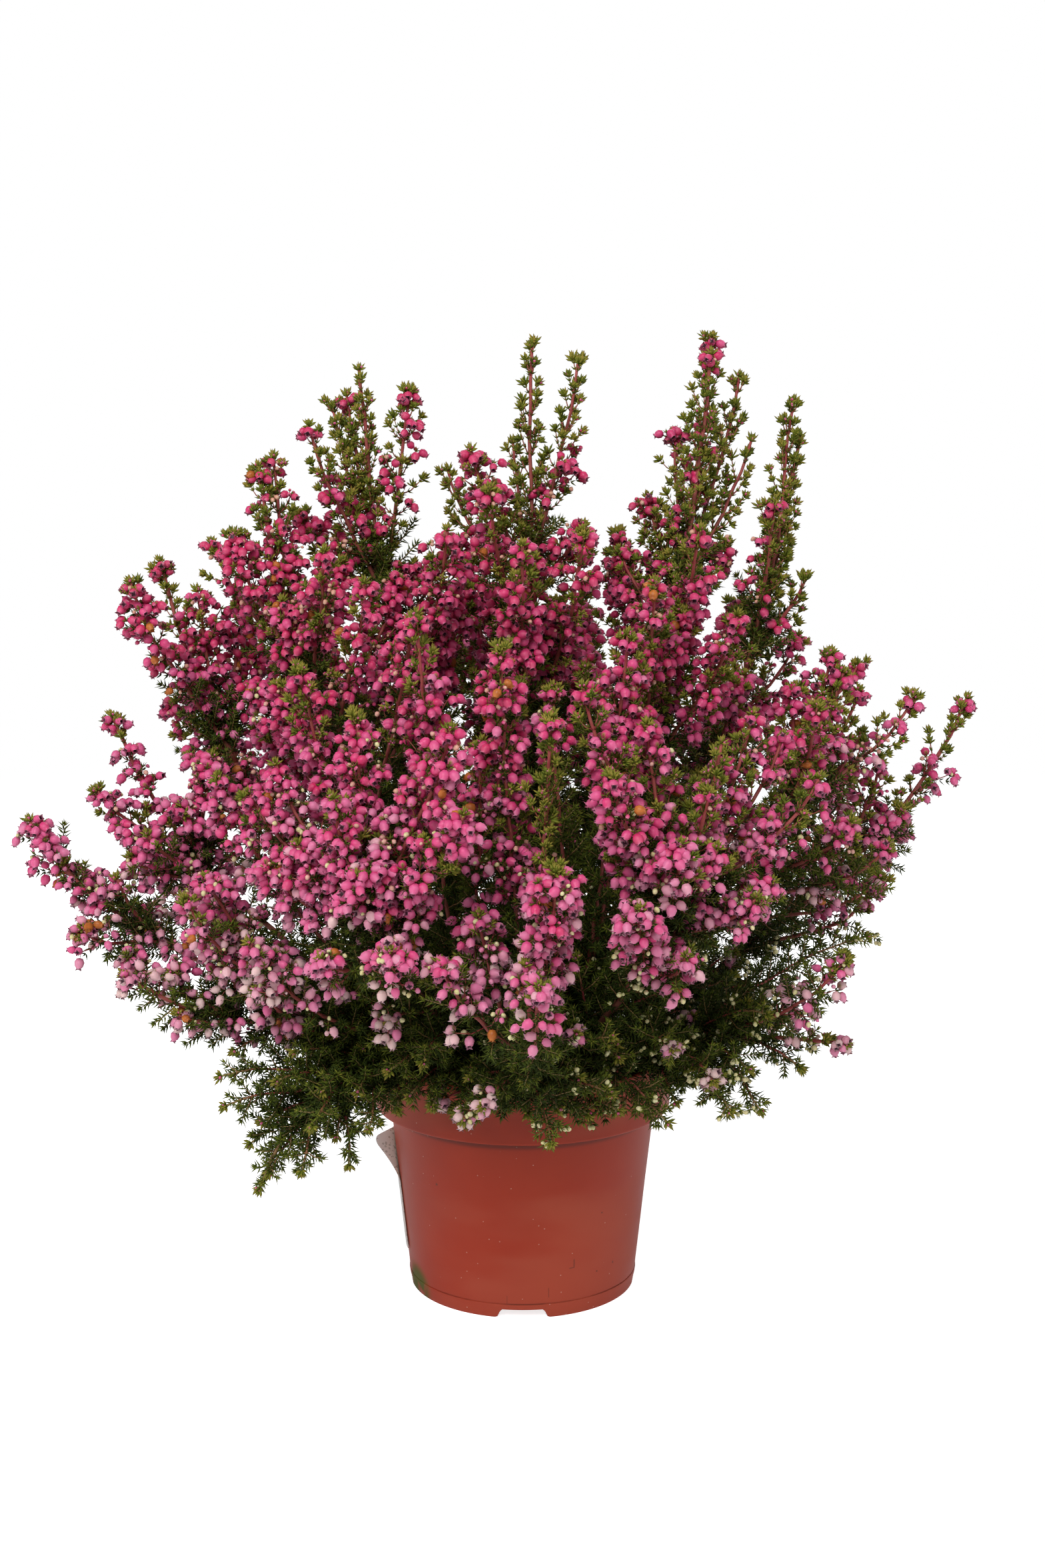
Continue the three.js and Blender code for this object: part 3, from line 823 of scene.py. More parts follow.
def growShoot(n, line, radii, green, flowersFrom, leafyFrom, leafy=False, pink=True, slender=1.0):
    # one shoot, from its foot up: leafy twigs, then flowers, then tufts in its green tip
    home = homes[n]
    size = len(line["points"])
    points = line["points"].copy()
    wander = dice.uniform(0, 100)
    for i in range(size):
        amount = growth["wander"] * min(1.0, i / 8, (size - 1 - i) / 8)
        spots = (Vector((wander, i * 0.11, 7.3 * k + 0.5)) for k in range(3))
        points[i] += amount * np.array([noise.noise(spot) for spot in spots])
    line = {**line, "points": points}
    picked = np.unique(np.linspace(0, size - 1, max(4, size // 4)).round().astype(int))
    footRadius, tipRadius = radii
    taper = footRadius + (tipRadius - footRadius) * np.linspace(0, 1, len(picked)) ** 0.8
    ages = (0.75, 0.0) if leafy else (1.0 if footRadius > 1.2 * mm else 0.6, 0.27)
    home["tubes"].append((points[picked], taper, 8, *ages))
    length = line["length"]
    place = leafyFrom * length
    turn = dice.uniform(0, 6.28)
    while place < length - 2 * mm:
        share = place / length
        foot, way = spotOn(line, share)
        turn += 0.95 + dice.uniform(-0.25, 0.25)
        left = length - place
        zone = "leaves" if share < flowersFrom else "flowers" if share < 1 - green else "tufts"
        if leafy:
            gap, number = growth["leafGap"] * 0.75, 2
            addNeedles(home, foot, way, gap, 2.0 * mm, growth["needle"], 55, leafTone(foot[2], share))
        elif zone == "leaves":
            gap, number = growth["leafGap"], 3
        elif zone == "flowers":
            gap, number = growth["whorlGap"], int(dice.integers(3, 5))
        else:
            gap, number = growth["tuftGap"], int(dice.integers(2, 5))
        for k in range(number):
            around = turn + 2 * math.pi * k / number + dice.uniform(-0.25, 0.25)
            if leafy:
                reach = min(0.021, 5 * mm + 0.5 * left) * dice.uniform(0.5, 1.0)
                leafyTwig(home, foot, twigWay(way, around, dice.uniform(42, 62)), reach, share)
            elif zone == "leaves":
                reach = slender * dice.uniform(*growth["leafTwig"])
                leafyTwig(home, foot, twigWay(way, around, dice.uniform(40, 60)), reach, share)
            elif zone == "flowers":
                reach = slender * dice.uniform(*growth["flowerTwig"]) * min(1.0, 0.45 + left / 0.04)
                reach *= 1 + 0.5 * noise.noise(Vector((wander, place / 0.012, 5.0)))
                spread = twigWay(way, around, dice.uniform(40, 62))
                if dice.random() > greenShare(foot):
                    flowerTwig(home, foot, spread, reach, green > 0.15)
                elif foot[2] > 0.2 and insideShare(foot) < 0.5:
                    tuftTwig(home, foot, spread, reach)
                else:
                    leafyTwig(home, foot, spread, reach * 1.3, share)
            else:
                reach = slender * dice.uniform(*growth["tuftTwig"]) * min(1.0, 0.3 + left / 0.06)
                tuftTwig(home, foot, twigWay(way, around, dice.uniform(24, 44)), reach)
        place += gap * dice.uniform(0.85, 1.15)
    tip, way = points[-1], line["ways"][-1]
    addTuft(home, tip, way, growth["needle"] * 1.1, 0.8, 2)
    if pink and not leafy:
        for down, count, unripe in ((2 * mm, 6, 0.15), (5 * mm, 3, 0.3)):
            addCluster(home, tip - way * down, way, count, toneAt(tip[2]), growth["bell"], 0.92, unripe)


crowd = dict.fromkeys(mains, 0)


def bestFoot(tip, low, high):
    # the main shoot, and the place on it, that a side shoot to this tip would leave from
    best = None
    for n, line in mains.items():
        if crowd[n] >= growth["mostSides"]:
            continue
        for share in np.linspace(low, high, 12):
            foot, way = spotOn(line, share)
            gap = tip - foot
            reach = math.sqrt(gap @ gap)
            lean = math.degrees(math.acos(np.clip(gap @ way / reach, -1, 1)))
            cost = reach * (1 + (lean / 40) ** 2) * (1 + growth["crowding"] * crowd[n])
            if best is None or cost < best[0]:
                best = (cost, n, foot, way)
    crowd[best[1]] += 1
    return best[1:]


def growSide(kind, tip, green=0.0, flowersFrom=0.36, **more):
    look = sideLooks[kind]
    n, foot, way = bestFoot(tip, *look["span"])
    straight = unit(tip - foot)
    line = curveBetween(foot, unit(way + look["toward"] * straight), tip, unit(straight + look["rise"] * up))
    growShoot(n, line, look["radii"], green, flowersFrom, look["from"], **more)


def growFlowering(tip, green):
    growSide("flowering", tip, green, 0.5 if tip[2] < 0.2 else 0.36, pink=green < 0.4)


def domeTip(look, k):
    turn = k * spiralStep + look["start"]
    lean = math.radians(look["steepest"]) * math.sqrt((k + 0.5) / look["count"])
    size = dice.uniform(*look["size"])
    out = math.sin(lean) * size
    across, deep = look["wide"] * out * math.cos(turn), look["deep"] * out * math.sin(turn)
    return np.array((across, deep, look["centre"] + look["high"] * math.cos(lean) * size))


def growPlant():
    for n, line in mains.items():
        look = {"leafy": False, "pink": True, "slender": 1.0, **mainLook[n]}
        more = {key: look[key] for key in ("leafy", "pink", "slender")}
        growShoot(n, line, (1.8 * mm, 0.72 * mm), look["green"], look["from"], 0.1, **more)
    for *tip, green in sideShoots:
        growFlowering(np.array(tip) * mm, green)
    for tip in leafySprays:
        growSide("spray", np.array(tip) * mm, leafy=True)
    for k in range(domeLook["count"]):
        growFlowering(domeTip(domeLook, k), dice.uniform(0.02, 0.16))
    for k in range(fillLook["count"]):
        # leafy shoots inside the crown, dark between the flowers
        growSide("inside", domeTip(fillLook, k), leafy=True)
    for k in range(backShoots["count"]):
        # flowering shoots in the middle of the crown and behind it
        side = ((k * 0.618) % 1.0) * 2 - 1
        low, high = backShoots["low"], backShoots["high"]
        height = low + (high - low) * ((k * 0.5698) % 1.0) * (1 - 0.45 * abs(side))
        place = backShoots["near"] + (backShoots["far"] - backShoots["near"]) * ((k * 0.7549) % 1.0)
        growFlowering(np.array((side * backShoots["wide"], place, height)), dice.uniform(0.02, 0.12))
    for k in range(skirtLook["count"]):
        # short shoots low down all round, that hang out over the rim
        turn = k * spiralStep
        out = dice.uniform(skirtLook["near"], skirtLook["far"])
        height = dice.uniform(skirtLook["low"], skirtLook["high"])
        leafy = dice.random() < skirtLook["leafy"]
        tip = np.array((out * math.cos(turn), out * math.sin(turn), height))
        growSide("skirt", tip, 0.0, dice.uniform(0.55, 0.85), leafy=leafy)


growPlant()
print("shoots grown:", {k: sum(len(h[k]) for h in homes.values()) for k in ("tubes", "bells", "buds")})


# leaves, bells and bark


def barkMaterial():
    material, tree, shader = newMaterial("heatherBark")
    age = attribute(tree, "age")
    wood = colourRamp(tree, age, (
        (0.0, (0.17, 0.17, 0.035)),
        (0.14, (0.24, 0.10, 0.04)),
        (0.28, (0.33, 0.035, 0.045)),
        (0.55, (0.22, 0.045, 0.035)),
        (1.0, (0.085, 0.038, 0.02)),
    ))
    cloud = useGroup(tree, patches, scale=260.0, contrast=2.2)
    plug(tree, shader.inputs["Base Color"], stained(tree, wood, cloud, 0.35, (0.40, 0.17, 0.10)))
    plug(tree, shader.inputs["Normal"], useGroup(tree, grain, scale=1500.0, strength=0.5, depth=0.0002))
    setSockets(shader, {"Roughness": 0.62})
    return material


def leafMaterial():
    material, tree, shader = newMaterial("heatherLeaf")
    tone, along = attribute(tree, "tone"), attribute(tree, "along")
    green = colourRamp(tree, tone, (
        (0.0, (0.012, 0.022, 0.003)),
        (0.3, (0.024, 0.044, 0.005)),
        (0.6, (0.115, 0.145, 0.013)),
        (1.0, (0.26, 0.28, 0.035)),
    ))
    cloud = useGroup(tree, patches, scale=120.0, contrast=1.6)
    mixed = stained(tree, green, cloud, 0.2, (0.13, 0.145, 0.016))
    ruddy = rangeOf(tree, times(tree, along, tone), 0.35, 0.9, 0.0, 0.5)
    plug(tree, shader.inputs["Base Color"], mixColours(tree, ruddy, mixed, (0.34, 0.15, 0.045, 1)))
    plug(tree, shader.inputs["Roughness"], rangeOf(tree, cloud, 0.0, 1.0, 0.5, 0.68))
    setSockets(shader, {"Specular IOR Level": 0.14})
    return material


def bellMaterial():
    material, tree, shader = newMaterial("heatherBell")
    tone, along, age = (attribute(tree, name) for name in ("tone", "along", "age"))
    petal = colourRamp(tree, tone, (
        (0.0, (0.56, 0.016, 0.105)),
        (0.25, (0.62, 0.034, 0.165)),
        (0.5, (0.66, 0.085, 0.245)),
        (0.75, (0.66, 0.19, 0.34)),
        (1.0, (0.70, 0.50, 0.47)),
    ))
    cloud = useGroup(tree, patches, scale=420.0, contrast=1.8)
    pale = mixColours(tree, 0.26, petal, (0.68, 0.36, 0.45, 1))
    body = mixColours(tree, rangeOf(tree, along, 0.1, 0.55), petal, mixColours(tree, cloud, petal, pale))
    rim = mixColours(tree, rangeOf(tree, along, 0.58, 0.76, 0.0, 0.35), body, (0.68, 0.30, 0.40, 1))
    foot = mixColours(tree, rangeOf(tree, along, 0.03, 0.2, 0.9, 0.0), rim, (0.26, 0.17, 0.045, 1))
    # painted shade: the throat inside the mouth, and the cone that closes it, are painted nearly black for
    # the shade inside the bell
    throatShade = mixColours(tree, rangeOf(tree, along, 0.80, 0.93), foot, (0.035, 0.004, 0.012, 1))
    # half aged is an unripe cream bud, fully aged a withered bell
    brown = mixColours(tree, cloud, (0.30, 0.075, 0.015, 1), (0.58, 0.19, 0.035, 1))
    cream = mixColours(tree, cloud, (0.55, 0.52, 0.20, 1), (0.74, 0.66, 0.42, 1))
    aged = mixColours(tree, rangeOf(tree, age, 0.5, 0.9), cream, brown)
    plug(tree, shader.inputs["Base Color"], mixColours(tree, rangeOf(tree, age, 0.0, 0.4), throatShade, aged))
    plug(tree, shader.inputs["Roughness"], rangeOf(tree, cloud, 0.0, 1.0, 0.36, 0.52))
    setSockets(shader, {"Specular IOR Level": 0.3, "Subsurface Weight": 0.18, "Subsurface Scale": 1.0})
    setSockets(shader, {"Subsurface Radius": (0.0016, 0.0007, 0.0008)})
    return material


def lobedRim(ring, point):
    # four lobes that curl out and up, on the ring that is the bell's mouth
    if ring != 4:
        return 1.0, 0.0
    return (1.32, 0.05) if point % 2 == 0 else (0.8, -0.04)


# sections of the small forms: radius, then height, for a form one unit long
# the bell's last point, at 0.62, closes its mouth with a cone sunk into it, which the bell material paints
# dark as painted shade in its throat
bellSection = [(0, 0), (0.30, 0.06), (0.48, 0.36), (0.40, 0.68), (0.23, 0.86), (0.31, 0.98), (0, 0.62)]
bellForm = turnedForm(bellSection, 8, lobedRim)
budForm = turnedForm([(0, 0), (0.34, 0.1), (0.47, 0.42), (0.33, 0.78), (0, 1.0)], 6)
needleForm = turnedForm([(0, 0), (0.5, 0.3), (0, 1)], 3)
tuftForm = turnedForm([(0, 0), (0.42, 0.2), (0.5, 0.65), (0, 1)], 3)
pedicelForm = turnedForm([(0, 0), (1.0, 0.0), (0.8, 1.0), (0, 1.0)], 3)
formLook = {
    "needleWidth": 0.95 * mm,
    "tuftWidth": 1.4 * mm,
    "flat": 0.6,  # a leaf's thickness as a share of its width
    "budWidth": 0.95,  # as a share of its length
    "pedicel": 0.16 * mm,
}


def stacked(rows, column):
    return np.array([row[column] for row in rows], float)


def needleCopies(form, rows, width):
    spots, ways, sizes, tones = (np.concatenate([row[k] for row in rows]) for k in range(4))
    wide = np.full(len(sizes), width)
    shape = np.stack((wide, wide * formLook["flat"], sizes), 1)
    made = copies(form, spots, ways, shape, dice.uniform(0, 6.28, len(spots)))
    made["tone"] = np.repeat(tones, made["each"])
    return made


def flowerCopies(form, rows, wide, length):
    sizes = np.stack((wide, wide, length), 1)
    made = copies(form, stacked(rows, 0), stacked(rows, 1), sizes, dice.uniform(0, 6.28, len(rows)))
    made["tone"] = np.repeat(stacked(rows, 3), made["each"])
    made["age"] = np.repeat(stacked(rows, 4), made["each"])
    return made


def woodOf(home):
    spots, ways, reach = (stacked(home["pedicels"], column) for column in range(3))
    wide = np.full(len(reach), formLook["pedicel"])
    made = copies(pedicelForm, spots, ways, np.stack((wide, wide, reach), 1), np.zeros(len(reach)))
    made["age"] = np.full(len(made["points"]), 0.2)
    return joined([tubesOf(home["tubes"]), made])


def leavesOf(home):
    needles = needleCopies(needleForm, home["needles"], formLook["needleWidth"])
    return joined([needles, needleCopies(tuftForm, home["tufts"], formLook["tuftWidth"])])


def flowersOf(home):
    bells = flowerCopies(bellForm, home["bells"], *stacked(home["bells"], 2).T)
    length = stacked(home["buds"], 2)
    return joined([bells, flowerCopies(budForm, home["buds"], length * formLook["budWidth"], length)])


def buildPlant():
    finishes = (
        ("woodyStem", "stem", woodOf, barkMaterial(), "stem_bark"),
        ("needleLeaves", "leaves", leavesOf, leafMaterial(), "heather_leaf"),
        ("flowerBells", "bells", flowersOf, bellMaterial(), "heather_bell"),
    )
    total = 0
    for n, home in homes.items():
        grown = [maker(home) for name, node, maker, material, slot in finishes]
        for (name, node, maker, material, slot), (shape, values) in zip(finishes, grown):
            mesh = meshOf(f"{name}{n:02d}", values=values, **shape)
            newPiece(f"{name}{n:02d}", mesh, material, [f"{node}_{n:02d}"])
            total += sum(shape["counts"] - 2)
    print("plant built:", total, "triangles")


buildPlant()


# the pot

potSizes = {
    "height": 105.0,
    "rim": 65.0,
    "collar": 24.5,
    "flare": 0.8,
    "step": 7.4,
    "foot": 49.0,
    "wall": 1.6,
    "under": 5.0,  # height of the floor's underside
    "floor": 6.6,  # and of its top
    "ridge": 6.4,  # height of the moulded line just above the foot
    "sides": 288,
    "notch": (22.5, 18.5, 3.9),  # width at the ground, width at its top, height
    "drain": (4.0, 34.0, 8),  # radius, ring, count
}


def wallAt(height):
    s = potSizes
    return s["foot"] + (s["rim"] - s["step"] - s["foot"]) * height / (s["height"] - s["collar"])


def potProfile():
    # its section: out along the underside, up the outside, over the rim and down the inside
    s = potSizes
    ledge = s["height"] - s["collar"]
    foot, ridge = s["foot"], s["ridge"]
    inner = s["rim"] - s["wall"] - 0.4
    low = s["rim"] - s["flare"]
    under, floor = s["under"], s["floor"]
    ringShape = ((-2.2, 4.0), (-2.2, 0.5), (-1.8, 0.1), (-1.3, 0), (-0.5, 0), (-0.1, 0.15), (0.1, 0.6))
    grooveShape = ((0.2, -0.35), (0.16, -0.1), (-0.08, 0.05), (0, 0.35))
    edgeShape = ((-1.0, 0), (-0.35, 0.15), (-0.05, 0.5), (0, 1.2))
    rimShape = ((-0.1, -0.5), (-0.45, -0.15), (-0.9, 0), (-1.3, -0.1), (-1.75, -0.4))
    outside = [(0, under), (20, under), (foot - 4.2, under), (foot - 2.8, under - 0.3)]
    outside += [(foot + out, h) for out, h in ringShape]
    outside += [(wallAt(h) + out, h) for out, h in ((0.12, 2), (0.16, 4), (0.2, 5))]
    outside += [(wallAt(ridge) + out, ridge + rise) for out, rise in grooveShape]
    outside += [(wallAt(h), h) for h in (7.2, 10, 16, 24, 32, 40, 48, 56, 64, 72, 77, 79.2)]
    outside += [(wallAt(ledge) + 0.35, ledge - 0.35), (wallAt(ledge) + 1.1, ledge)]
    outside += [(low + out, ledge + rise) for out, rise in edgeShape]
    outside += [(low + s["flare"] * k / 7, ledge + 1.2 + (s["collar"] - 2.1) * k / 7) for k in range(1, 8)]
    rim = [(s["rim"] + out, s["height"] + rise) for out, rise in rimShape] + [(inner, s["height"] - 0.9)]
    inside = [(inner, 96), (inner, 88), (inner - 0.1, ledge + 2.2), (wallAt(ledge) - 1.2, ledge + 1.5)]
    inside += [(wallAt(h) - s["wall"], h) for h in (ledge - 1, 60, 40, 20, 7.4)]
    return outside + rim + inside + [(foot - 1.4, floor), (20, floor), (0, floor)]


def smoothNoise(points, size, seed):
    return np.array([noise.noise(Vector(p / size) + Vector((seed, 0, 0))) for p in points])


def cutHoles(mesh, name, places, radius):
    # drain holes, cut through the floor with round pegs
    pot = bpy.data.objects.new(name, mesh)
    pegs = bpy.data.meshes.new(name + "Pegs")
    shape = bmesh.new()
    for x, y in places:
        peg = {"segments": 32, "radius1": radius, "radius2": radius}
        made = bmesh.ops.create_cone(shape, cap_ends=True, depth=6 * mm, **peg)
        bmesh.ops.translate(shape, verts=made["verts"], vec=(x, y, 5.8 * mm))
    shape.to_mesh(pegs)
    shape.free()
    cutter = bpy.data.objects.new(name + "Pegs", pegs)
    for thing in (pot, cutter):
        bpy.context.scene.collection.objects.link(thing)
    cut = pot.modifiers.new("cut", "BOOLEAN")
    cut.object = cutter
    cut.solver = "EXACT"
    made = bpy.data.meshes.new_from_object(pot.evaluated_get(bpy.context.evaluated_depsgraph_get()))
    for thing in (pot, cutter):
        bpy.data.objects.remove(thing)
    return made


def potMesh():
    s = potSizes
    form = turnedForm([(r * mm, h * mm) for r, h in potProfile()], s["sides"])
    points = form["points"]
    turn = np.arctan2(points[:, 1], points[:, 0])
    radius = np.hypot(points[:, 0], points[:, 1])
    # a slot in the foot ring at each quarter turn
    wide, narrow, high = (size * mm for size in s["notch"])
    off = np.abs((turn + math.pi / 4) % (math.pi / 2) - math.pi / 4) * s["foot"] * mm
    rise = high * np.clip((wide / 2 - off) / ((wide - narrow) / 2), 0, 1) ** 1.5
    ring = (radius > 46 * mm) & (points[:, 2] < high)
    points[ring, 2] = np.maximum(points[ring, 2], rise[ring])
    # moulded plastic is never quite round or flat
    side = (points[:, 2] > 8 * mm) & (radius > 40 * mm)
    swell = 0.14 * mm * smoothNoise(points[side], 0.03, 3.0)
    points[side, :2] *= (1 + swell / radius[side])[:, None]
    mesh = meshOf("plasticPot", points, form["corners"], form["counts"])
    radius, out, count = s["drain"]
    turns = [2 * math.pi * (k + 0.5) / count for k in range(count)]
    places = [(out * mm * math.cos(t), out * mm * math.sin(t)) for t in turns] + [(0.0, 0.0)]
    made = cutHoles(mesh, "plasticPot", places, radius * mm)
    made.set_sharp_from_angle(angle=math.radians(38))
    return made


# x and z of the middle of each scuff on the front, its half width and half height, in millimetres
potScuffs = [
    (21.7, 23.5, 0.28, 2.3), (20.6, 21.6, 1.3, 0.22), (11.0, 11.5, 0.16, 2.6), (-6.5, 8.5, 0.14, 2.2),
    (38.5, 19.0, 0.35, 0.6), (31.5, 17.5, 0.45, 0.4),
]


potFinish = {
    "clay": (0.285, 0.021, 0.005),
    "lightClay": (0.32, 0.030, 0.008),
    "haze": (0.55, 0.24, 0.15),
    "speck": (0.62, 0.42, 0.33),
    "dot": (0.06, 0.022, 0.012),
    "scuff": (0.07, 0.02, 0.012),
    # dark brown of the dirt in the moulded line, also used for the painted shadow under the collar
    "dirt": (0.06, 0.016, 0.01),
    "algae": (0.085, 0.082, 0.012),
    "algaeAt": (-44.5 * mm, -20.0 * mm, 3.0 * mm),
    "algaeReach": (6 * mm, 13 * mm),
    # height of the band of painted shadow under the collar
    "collarShadeLine": 78.3 * mm,
}


def potMaterial():
    look = potFinish
    material, tree, shader = newMaterial("terracottaPlastic")
    x, y, height = addNode(tree, "ShaderNodeSeparateXYZ", {0: objectPlace(tree)}).outputs
    cloud = useGroup(tree, patches, scale=26.0, contrast=1.7)
    colour = mixColours(tree, cloud, (*look["clay"], 1), (*look["lightClay"], 1))
    # pale dusty haze in patches that slant up to the right, and a few fine specks
    slant = addNode(tree, "ShaderNodeMapping", {"Vector": objectPlace(tree)})
    setSockets(slant, {"Rotation": (0.0, math.radians(35), 0.0), "Scale": (9.0, 9.0, 26.0)})
    wide = addNode(tree, "ShaderNodeTexNoise", {"Vector": slant.outputs[0], "Scale": 1.0, "Detail": 3.0})
    haze = rangeOf(tree, wide.outputs[0], 0.42, 0.62)
    colour = stained(tree, colour, haze, 0.1, look["haze"])
    small = useGroup(tree, specks, scale=430.0, size=0.12, rarity=0.9)
    colour = stained(tree, colour, small, 0.4, look["speck"])
    dots = useGroup(tree, specks, scale=85.0, size=0.05, rarity=0.8)
    colour = stained(tree, colour, dots, 0.7, look["dot"])
    front = maths(tree, "LESS_THAN", y, 0.0)
    for middle, level, wide, high in potScuffs:
        across = rangeOf(tree, gapTo(tree, x, middle * mm), wide * mm, wide * 0.4 * mm)
        upward = rangeOf(tree, gapTo(tree, height, level * mm), high * mm, high * 0.7 * mm)
        mark = times(tree, times(tree, across, upward), front)
        colour = stained(tree, colour, mark, 0.75, look["scuff"])
    # dark dirt in the moulded line above the foot, and a painted shadow in a band under the collar
    ridgeGap = gapTo(tree, height, potSizes["ridge"] * mm + 0.1 * mm)
    lineShare = rangeOf(tree, ridgeGap, 0.1 * mm, 0.5 * mm, 0.55, 0.0)
    dirt = useGroup(tree, patches, scale=70.0, contrast=4.5)
    # painted shadow: a dark band just under the collar's overhang
    collarShade = rangeOf(tree, gapTo(tree, height, look["collarShadeLine"]), 0.4 * mm, 2.6 * mm, 0.62, 0.0)
    dark = maths(tree, "MAXIMUM", times(tree, lineShare, dirt), collarShade)
    colour = mixColours(tree, dark, colour, (*look["dirt"], 1))
    # a green bloom of algae low on the left
    places = {0: objectPlace(tree), 1: look["algaeAt"]}
    away = addNode(tree, "ShaderNodeVectorMath", places, operation="DISTANCE").outputs["Value"]
    near = rangeOf(tree, away, *look["algaeReach"], 1.0, 0.0)
    cover = rangeOf(tree, useGroup(tree, patches, scale=110.0, contrast=2.0), 0.08, 0.34)
    green = times(tree, near, cover)
    plug(tree, shader.inputs["Base Color"], mixColours(tree, green, colour, (*look["algae"], 1)))
    rough = maths(tree, "ADD", 0.38, times(tree, haze, 0.14))
    plug(tree, shader.inputs["Roughness"], maths(tree, "ADD", rough, times(tree, green, 0.3)))
    setSockets(shader, {"Specular IOR Level": 0.27})
    plug(tree, shader.inputs["Normal"], useGroup(tree, grain, scale=900.0, strength=0.12, depth=0.0002))
    return material


newPiece("plasticPot", potMesh(), potMaterial(), ["pot"])
print("pot made")


# peat, with crumbs and bits of bark on it

peatSizes = {
    "top": 94.0,
    "dome": 3.0,  # how much higher its middle is
    "rough": 1.4,
    "sink": 2.2,
    "edge": 62.4,
    "sides": 160,
    "rings": 46,
    "crumbs": 900,
    "crumb": (1.0, 3.2),
}
crumbSection = [(0, -0.5), (0.42, -0.3), (0.55, 0.05), (0.36, 0.36), (0, 0.5)]


def peatHeight(x, y):
    s = peatSizes
    out = math.hypot(x, y) / (s["edge"] * mm)
    rough = noise.fractal(Vector((x, y, 0)) / 0.006, 0.8, 2.2, 4)
    return (s["top"] + s["dome"] * (1 - out**2) + s["rough"] * rough - s["sink"]) * mm


def crumbWave(ring, point):
    return 0.8 + 0.4 * ((ring * 3 + point * 5) % 4) / 3, 0


def peatMesh():
    s = peatSizes
    section = [(0, 7), (47.6, 7), (49, 12), (55.2, 79), (s["edge"], 84), (s["edge"], 90.0)]
    section += [(s["edge"] * (1 - k / s["rings"]), 92.0) for k in range(1, s["rings"] + 1)]
    ground = turnedForm([(r * mm, h * mm) for r, h in section], s["sides"])
    points = ground["points"]
    top = points[:, 2] > 91 * mm
    points[top, 2] = [peatHeight(x, y) for x, y in points[top, :2]]
    ground["along"] = np.zeros(len(points))
    ground["tone"] = np.full(len(points), 0.3)
    count = s["crumbs"]
    out = (s["edge"] - 2.5) * mm * np.sqrt(dice.random(count))
    turn = dice.uniform(0, 2 * math.pi, count)
    x, y = out * np.cos(turn), out * np.sin(turn)
    spots = np.stack((x, y, [peatHeight(a, b) + 0.3 * mm for a, b in zip(x, y)]), 1)
    ways = dice.normal(size=(count, 3))
    ways /= np.linalg.norm(ways, axis=1, keepdims=True)
    sizes = dice.uniform(*s["crumb"], (count, 1)) * mm * dice.uniform(0.5, 1.2, (count, 3))
    made = copies(turnedForm(crumbSection, 6, crumbWave), spots, ways, sizes, dice.uniform(0, 6.28, count))
    made["tone"] = np.repeat(dice.random(count), made["each"])
    shape, values = joined([ground, made])
    shape["places"] = None
    return meshOf("pottingPeat", values=values, **shape)


def peatMaterial():
    material, tree, shader = newMaterial("darkPeat")
    shades = ((0.0, (0.012, 0.007, 0.004)), (0.7, (0.04, 0.022, 0.012)), (1.0, (0.13, 0.075, 0.035)))
    cloud = useGroup(tree, patches, scale=240.0, contrast=2.4)
    mixed = stained(tree, colourRamp(tree, attribute(tree, "tone"), shades), cloud, 0.5, (0.05, 0.03, 0.015))
    bits = useGroup(tree, specks, scale=500.0, size=0.22, rarity=0.8)
    plug(tree, shader.inputs["Base Color"], mixColours(tree, bits, mixed, (0.20, 0.13, 0.07, 1)))
    plug(tree, shader.inputs["Normal"], useGroup(tree, grain, scale=1400.0, strength=0.9, depth=0.0006))
    setSockets(shader, {"Roughness": 0.95})
    return material


newPiece("pottingPeat", peatMesh(), peatMaterial(), ["potting_peat"])
print("peat made")


# the paper label, its upper front corner peeled away

labelSizes = {
    "low": 17.0,
    "high": 67.0,
    "front": 194.0,  # degrees, from +X towards the front
    "width": 60.0,
    "gap": 0.45,
    "thick": 0.3,
    "peel": (17.0, 19.0, 9.0),  # width, drop, lift
    "pull": 0.17,  # how far round the pot the peeled corner's point is pulled back, in radians
    "round": 4.0,  # radius of its corners
    "ripple": 0.06,
    "droop": 2.5,  # how far the peeled point hangs down
    "grid": (60, 52),
}


def roundedCorner(fromSide, fromTop, radius):
    # a point of a square corner, moved so that the corner becomes round
    inSide, inTop = radius - fromSide, radius - fromTop
    if inSide <= 0 or inTop <= 0:
        return fromSide, fromTop
    share = max(inSide, inTop) / math.hypot(inSide, inTop)
    return radius - inSide * share, radius - inTop * share


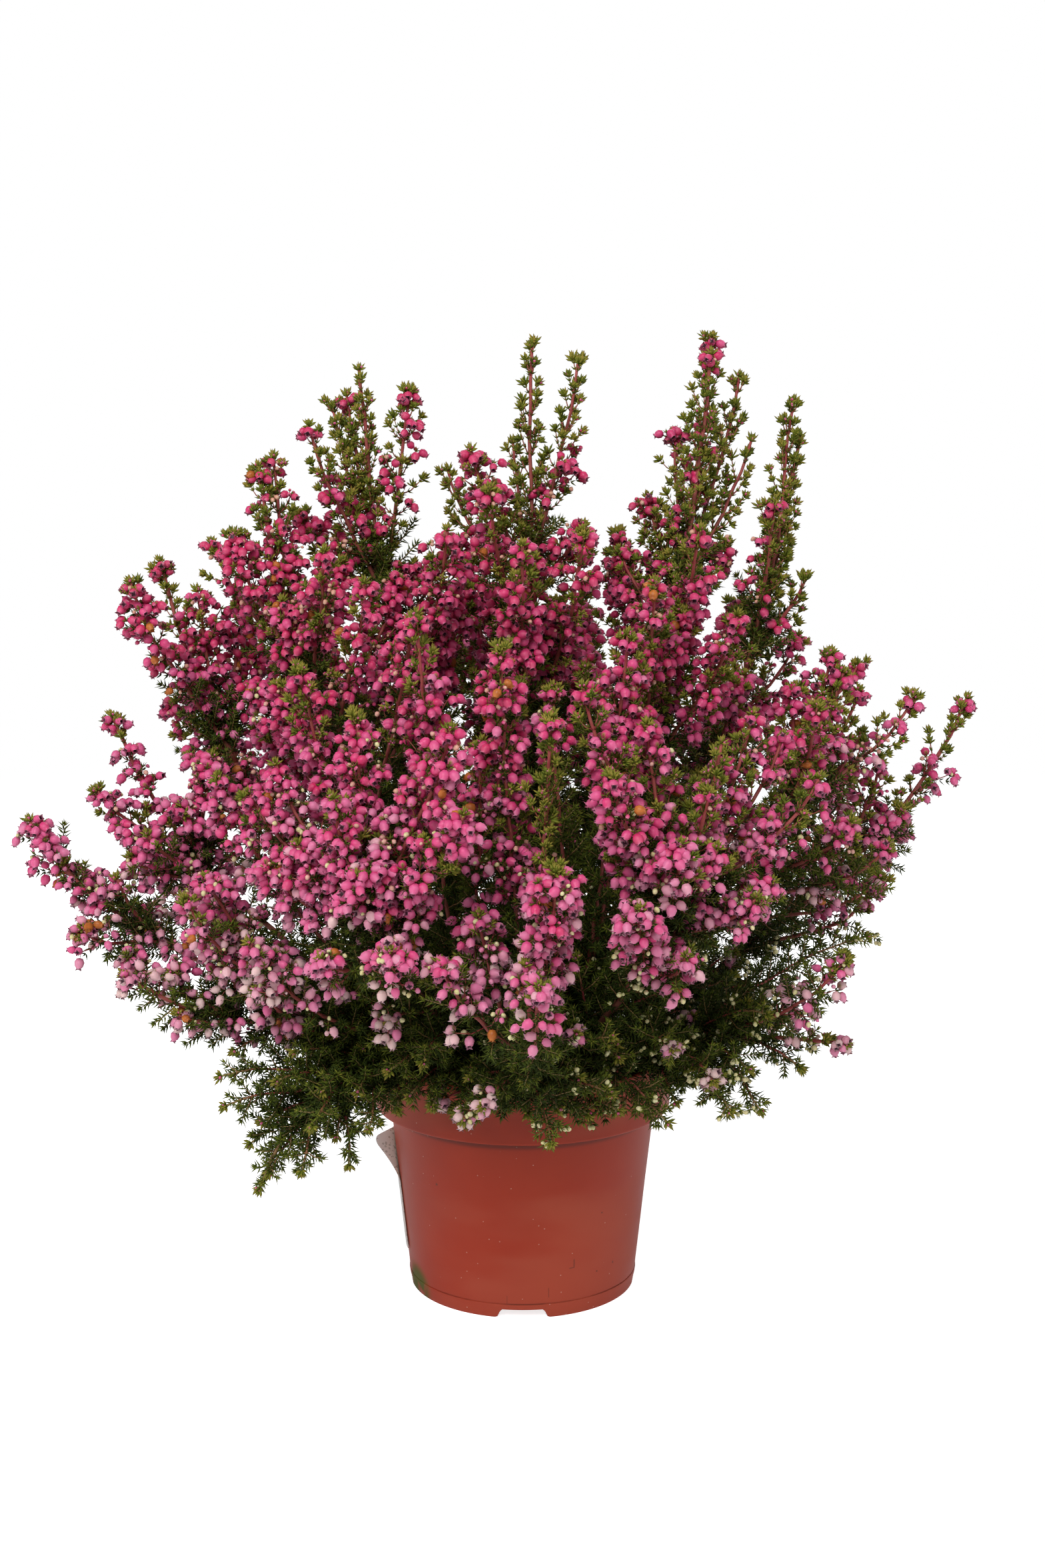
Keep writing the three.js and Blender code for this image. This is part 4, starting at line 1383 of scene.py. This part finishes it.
def labelMesh():
    s = labelSizes
    across, tall = s["grid"]
    wide, deep, lift = s["peel"]
    turnSize = s["width"] / wallAt((s["low"] + s["high"]) / 2)
    points = []
    for side in (0.0, s["thick"]):
        for j in range(tall + 1):
            rowHeight = s["low"] + (s["high"] - s["low"]) * j / tall
            for i in range(across + 1):
                u, drop = roundedCorner(s["width"] * i / across, s["high"] - rowHeight, s["round"])
                height = s["high"] - drop
                free = max(0.0, 1 - u / wide - drop / deep)
                ripple = s["ripple"] * noise.noise(Vector((u / 9, height / 9, 0)))
                out = wallAt(height) + s["gap"] + side + ripple + lift * free**1.4
                turn = math.radians(s["front"]) - (turnSize * u / s["width"] + s["pull"] * free**1.2)
                points.append((out * math.cos(turn), out * math.sin(turn), height - s["droop"] * free**2))
    row, layer = across + 1, (across + 1) * (tall + 1)
    faces = []
    for j in range(tall):
        for i in range(across):
            a = j * row + i
            faces.append((a, a + 1, a + row + 1, a + row))
            faces.append((a + layer, a + layer + row, a + layer + row + 1, a + layer + 1))
    edge = [i for i in range(across)] + [j * row + across for j in range(tall)]
    edge += [tall * row + i for i in range(across, 0, -1)] + [j * row for j in range(tall, 0, -1)]
    for k, a in enumerate(edge):
        b = edge[(k + 1) % len(edge)]
        faces.append((a, a + layer, b + layer, b))
    back = np.concatenate((np.ones(layer), np.zeros(layer)))
    mesh = meshOf("paperLabel", np.array(points) * mm, *cornersOf(faces), values={"back": back})
    mesh.set_sharp_from_angle(angle=math.radians(50))
    return mesh


def labelMaterial():
    material, tree, shader = newMaterial("labelPaper")
    cloud = useGroup(tree, patches, scale=60.0, contrast=2.0)
    front = mixColours(tree, cloud, (0.78, 0.76, 0.73, 1), (0.68, 0.64, 0.59, 1))
    bits = useGroup(tree, specks, scale=760.0, size=0.42, rarity=0.5)
    beige = stained(tree, (0.86, 0.70, 0.60, 1), bits, 0.75, (0.26, 0.11, 0.05))
    plug(tree, shader.inputs["Base Color"], mixColours(tree, attribute(tree, "back"), front, beige))
    plug(tree, shader.inputs["Normal"], useGroup(tree, grain, scale=1200.0, strength=0.15, depth=0.0002))
    setSockets(shader, {"Roughness": 0.55, "Subsurface Weight": 0.35, "Subsurface Scale": 1.0})
    setSockets(shader, {"Subsurface Radius": (0.004, 0.003, 0.0025)})
    return material


newPiece("paperLabel", labelMesh(), labelMaterial(), ["pot_label"])
print("label made")
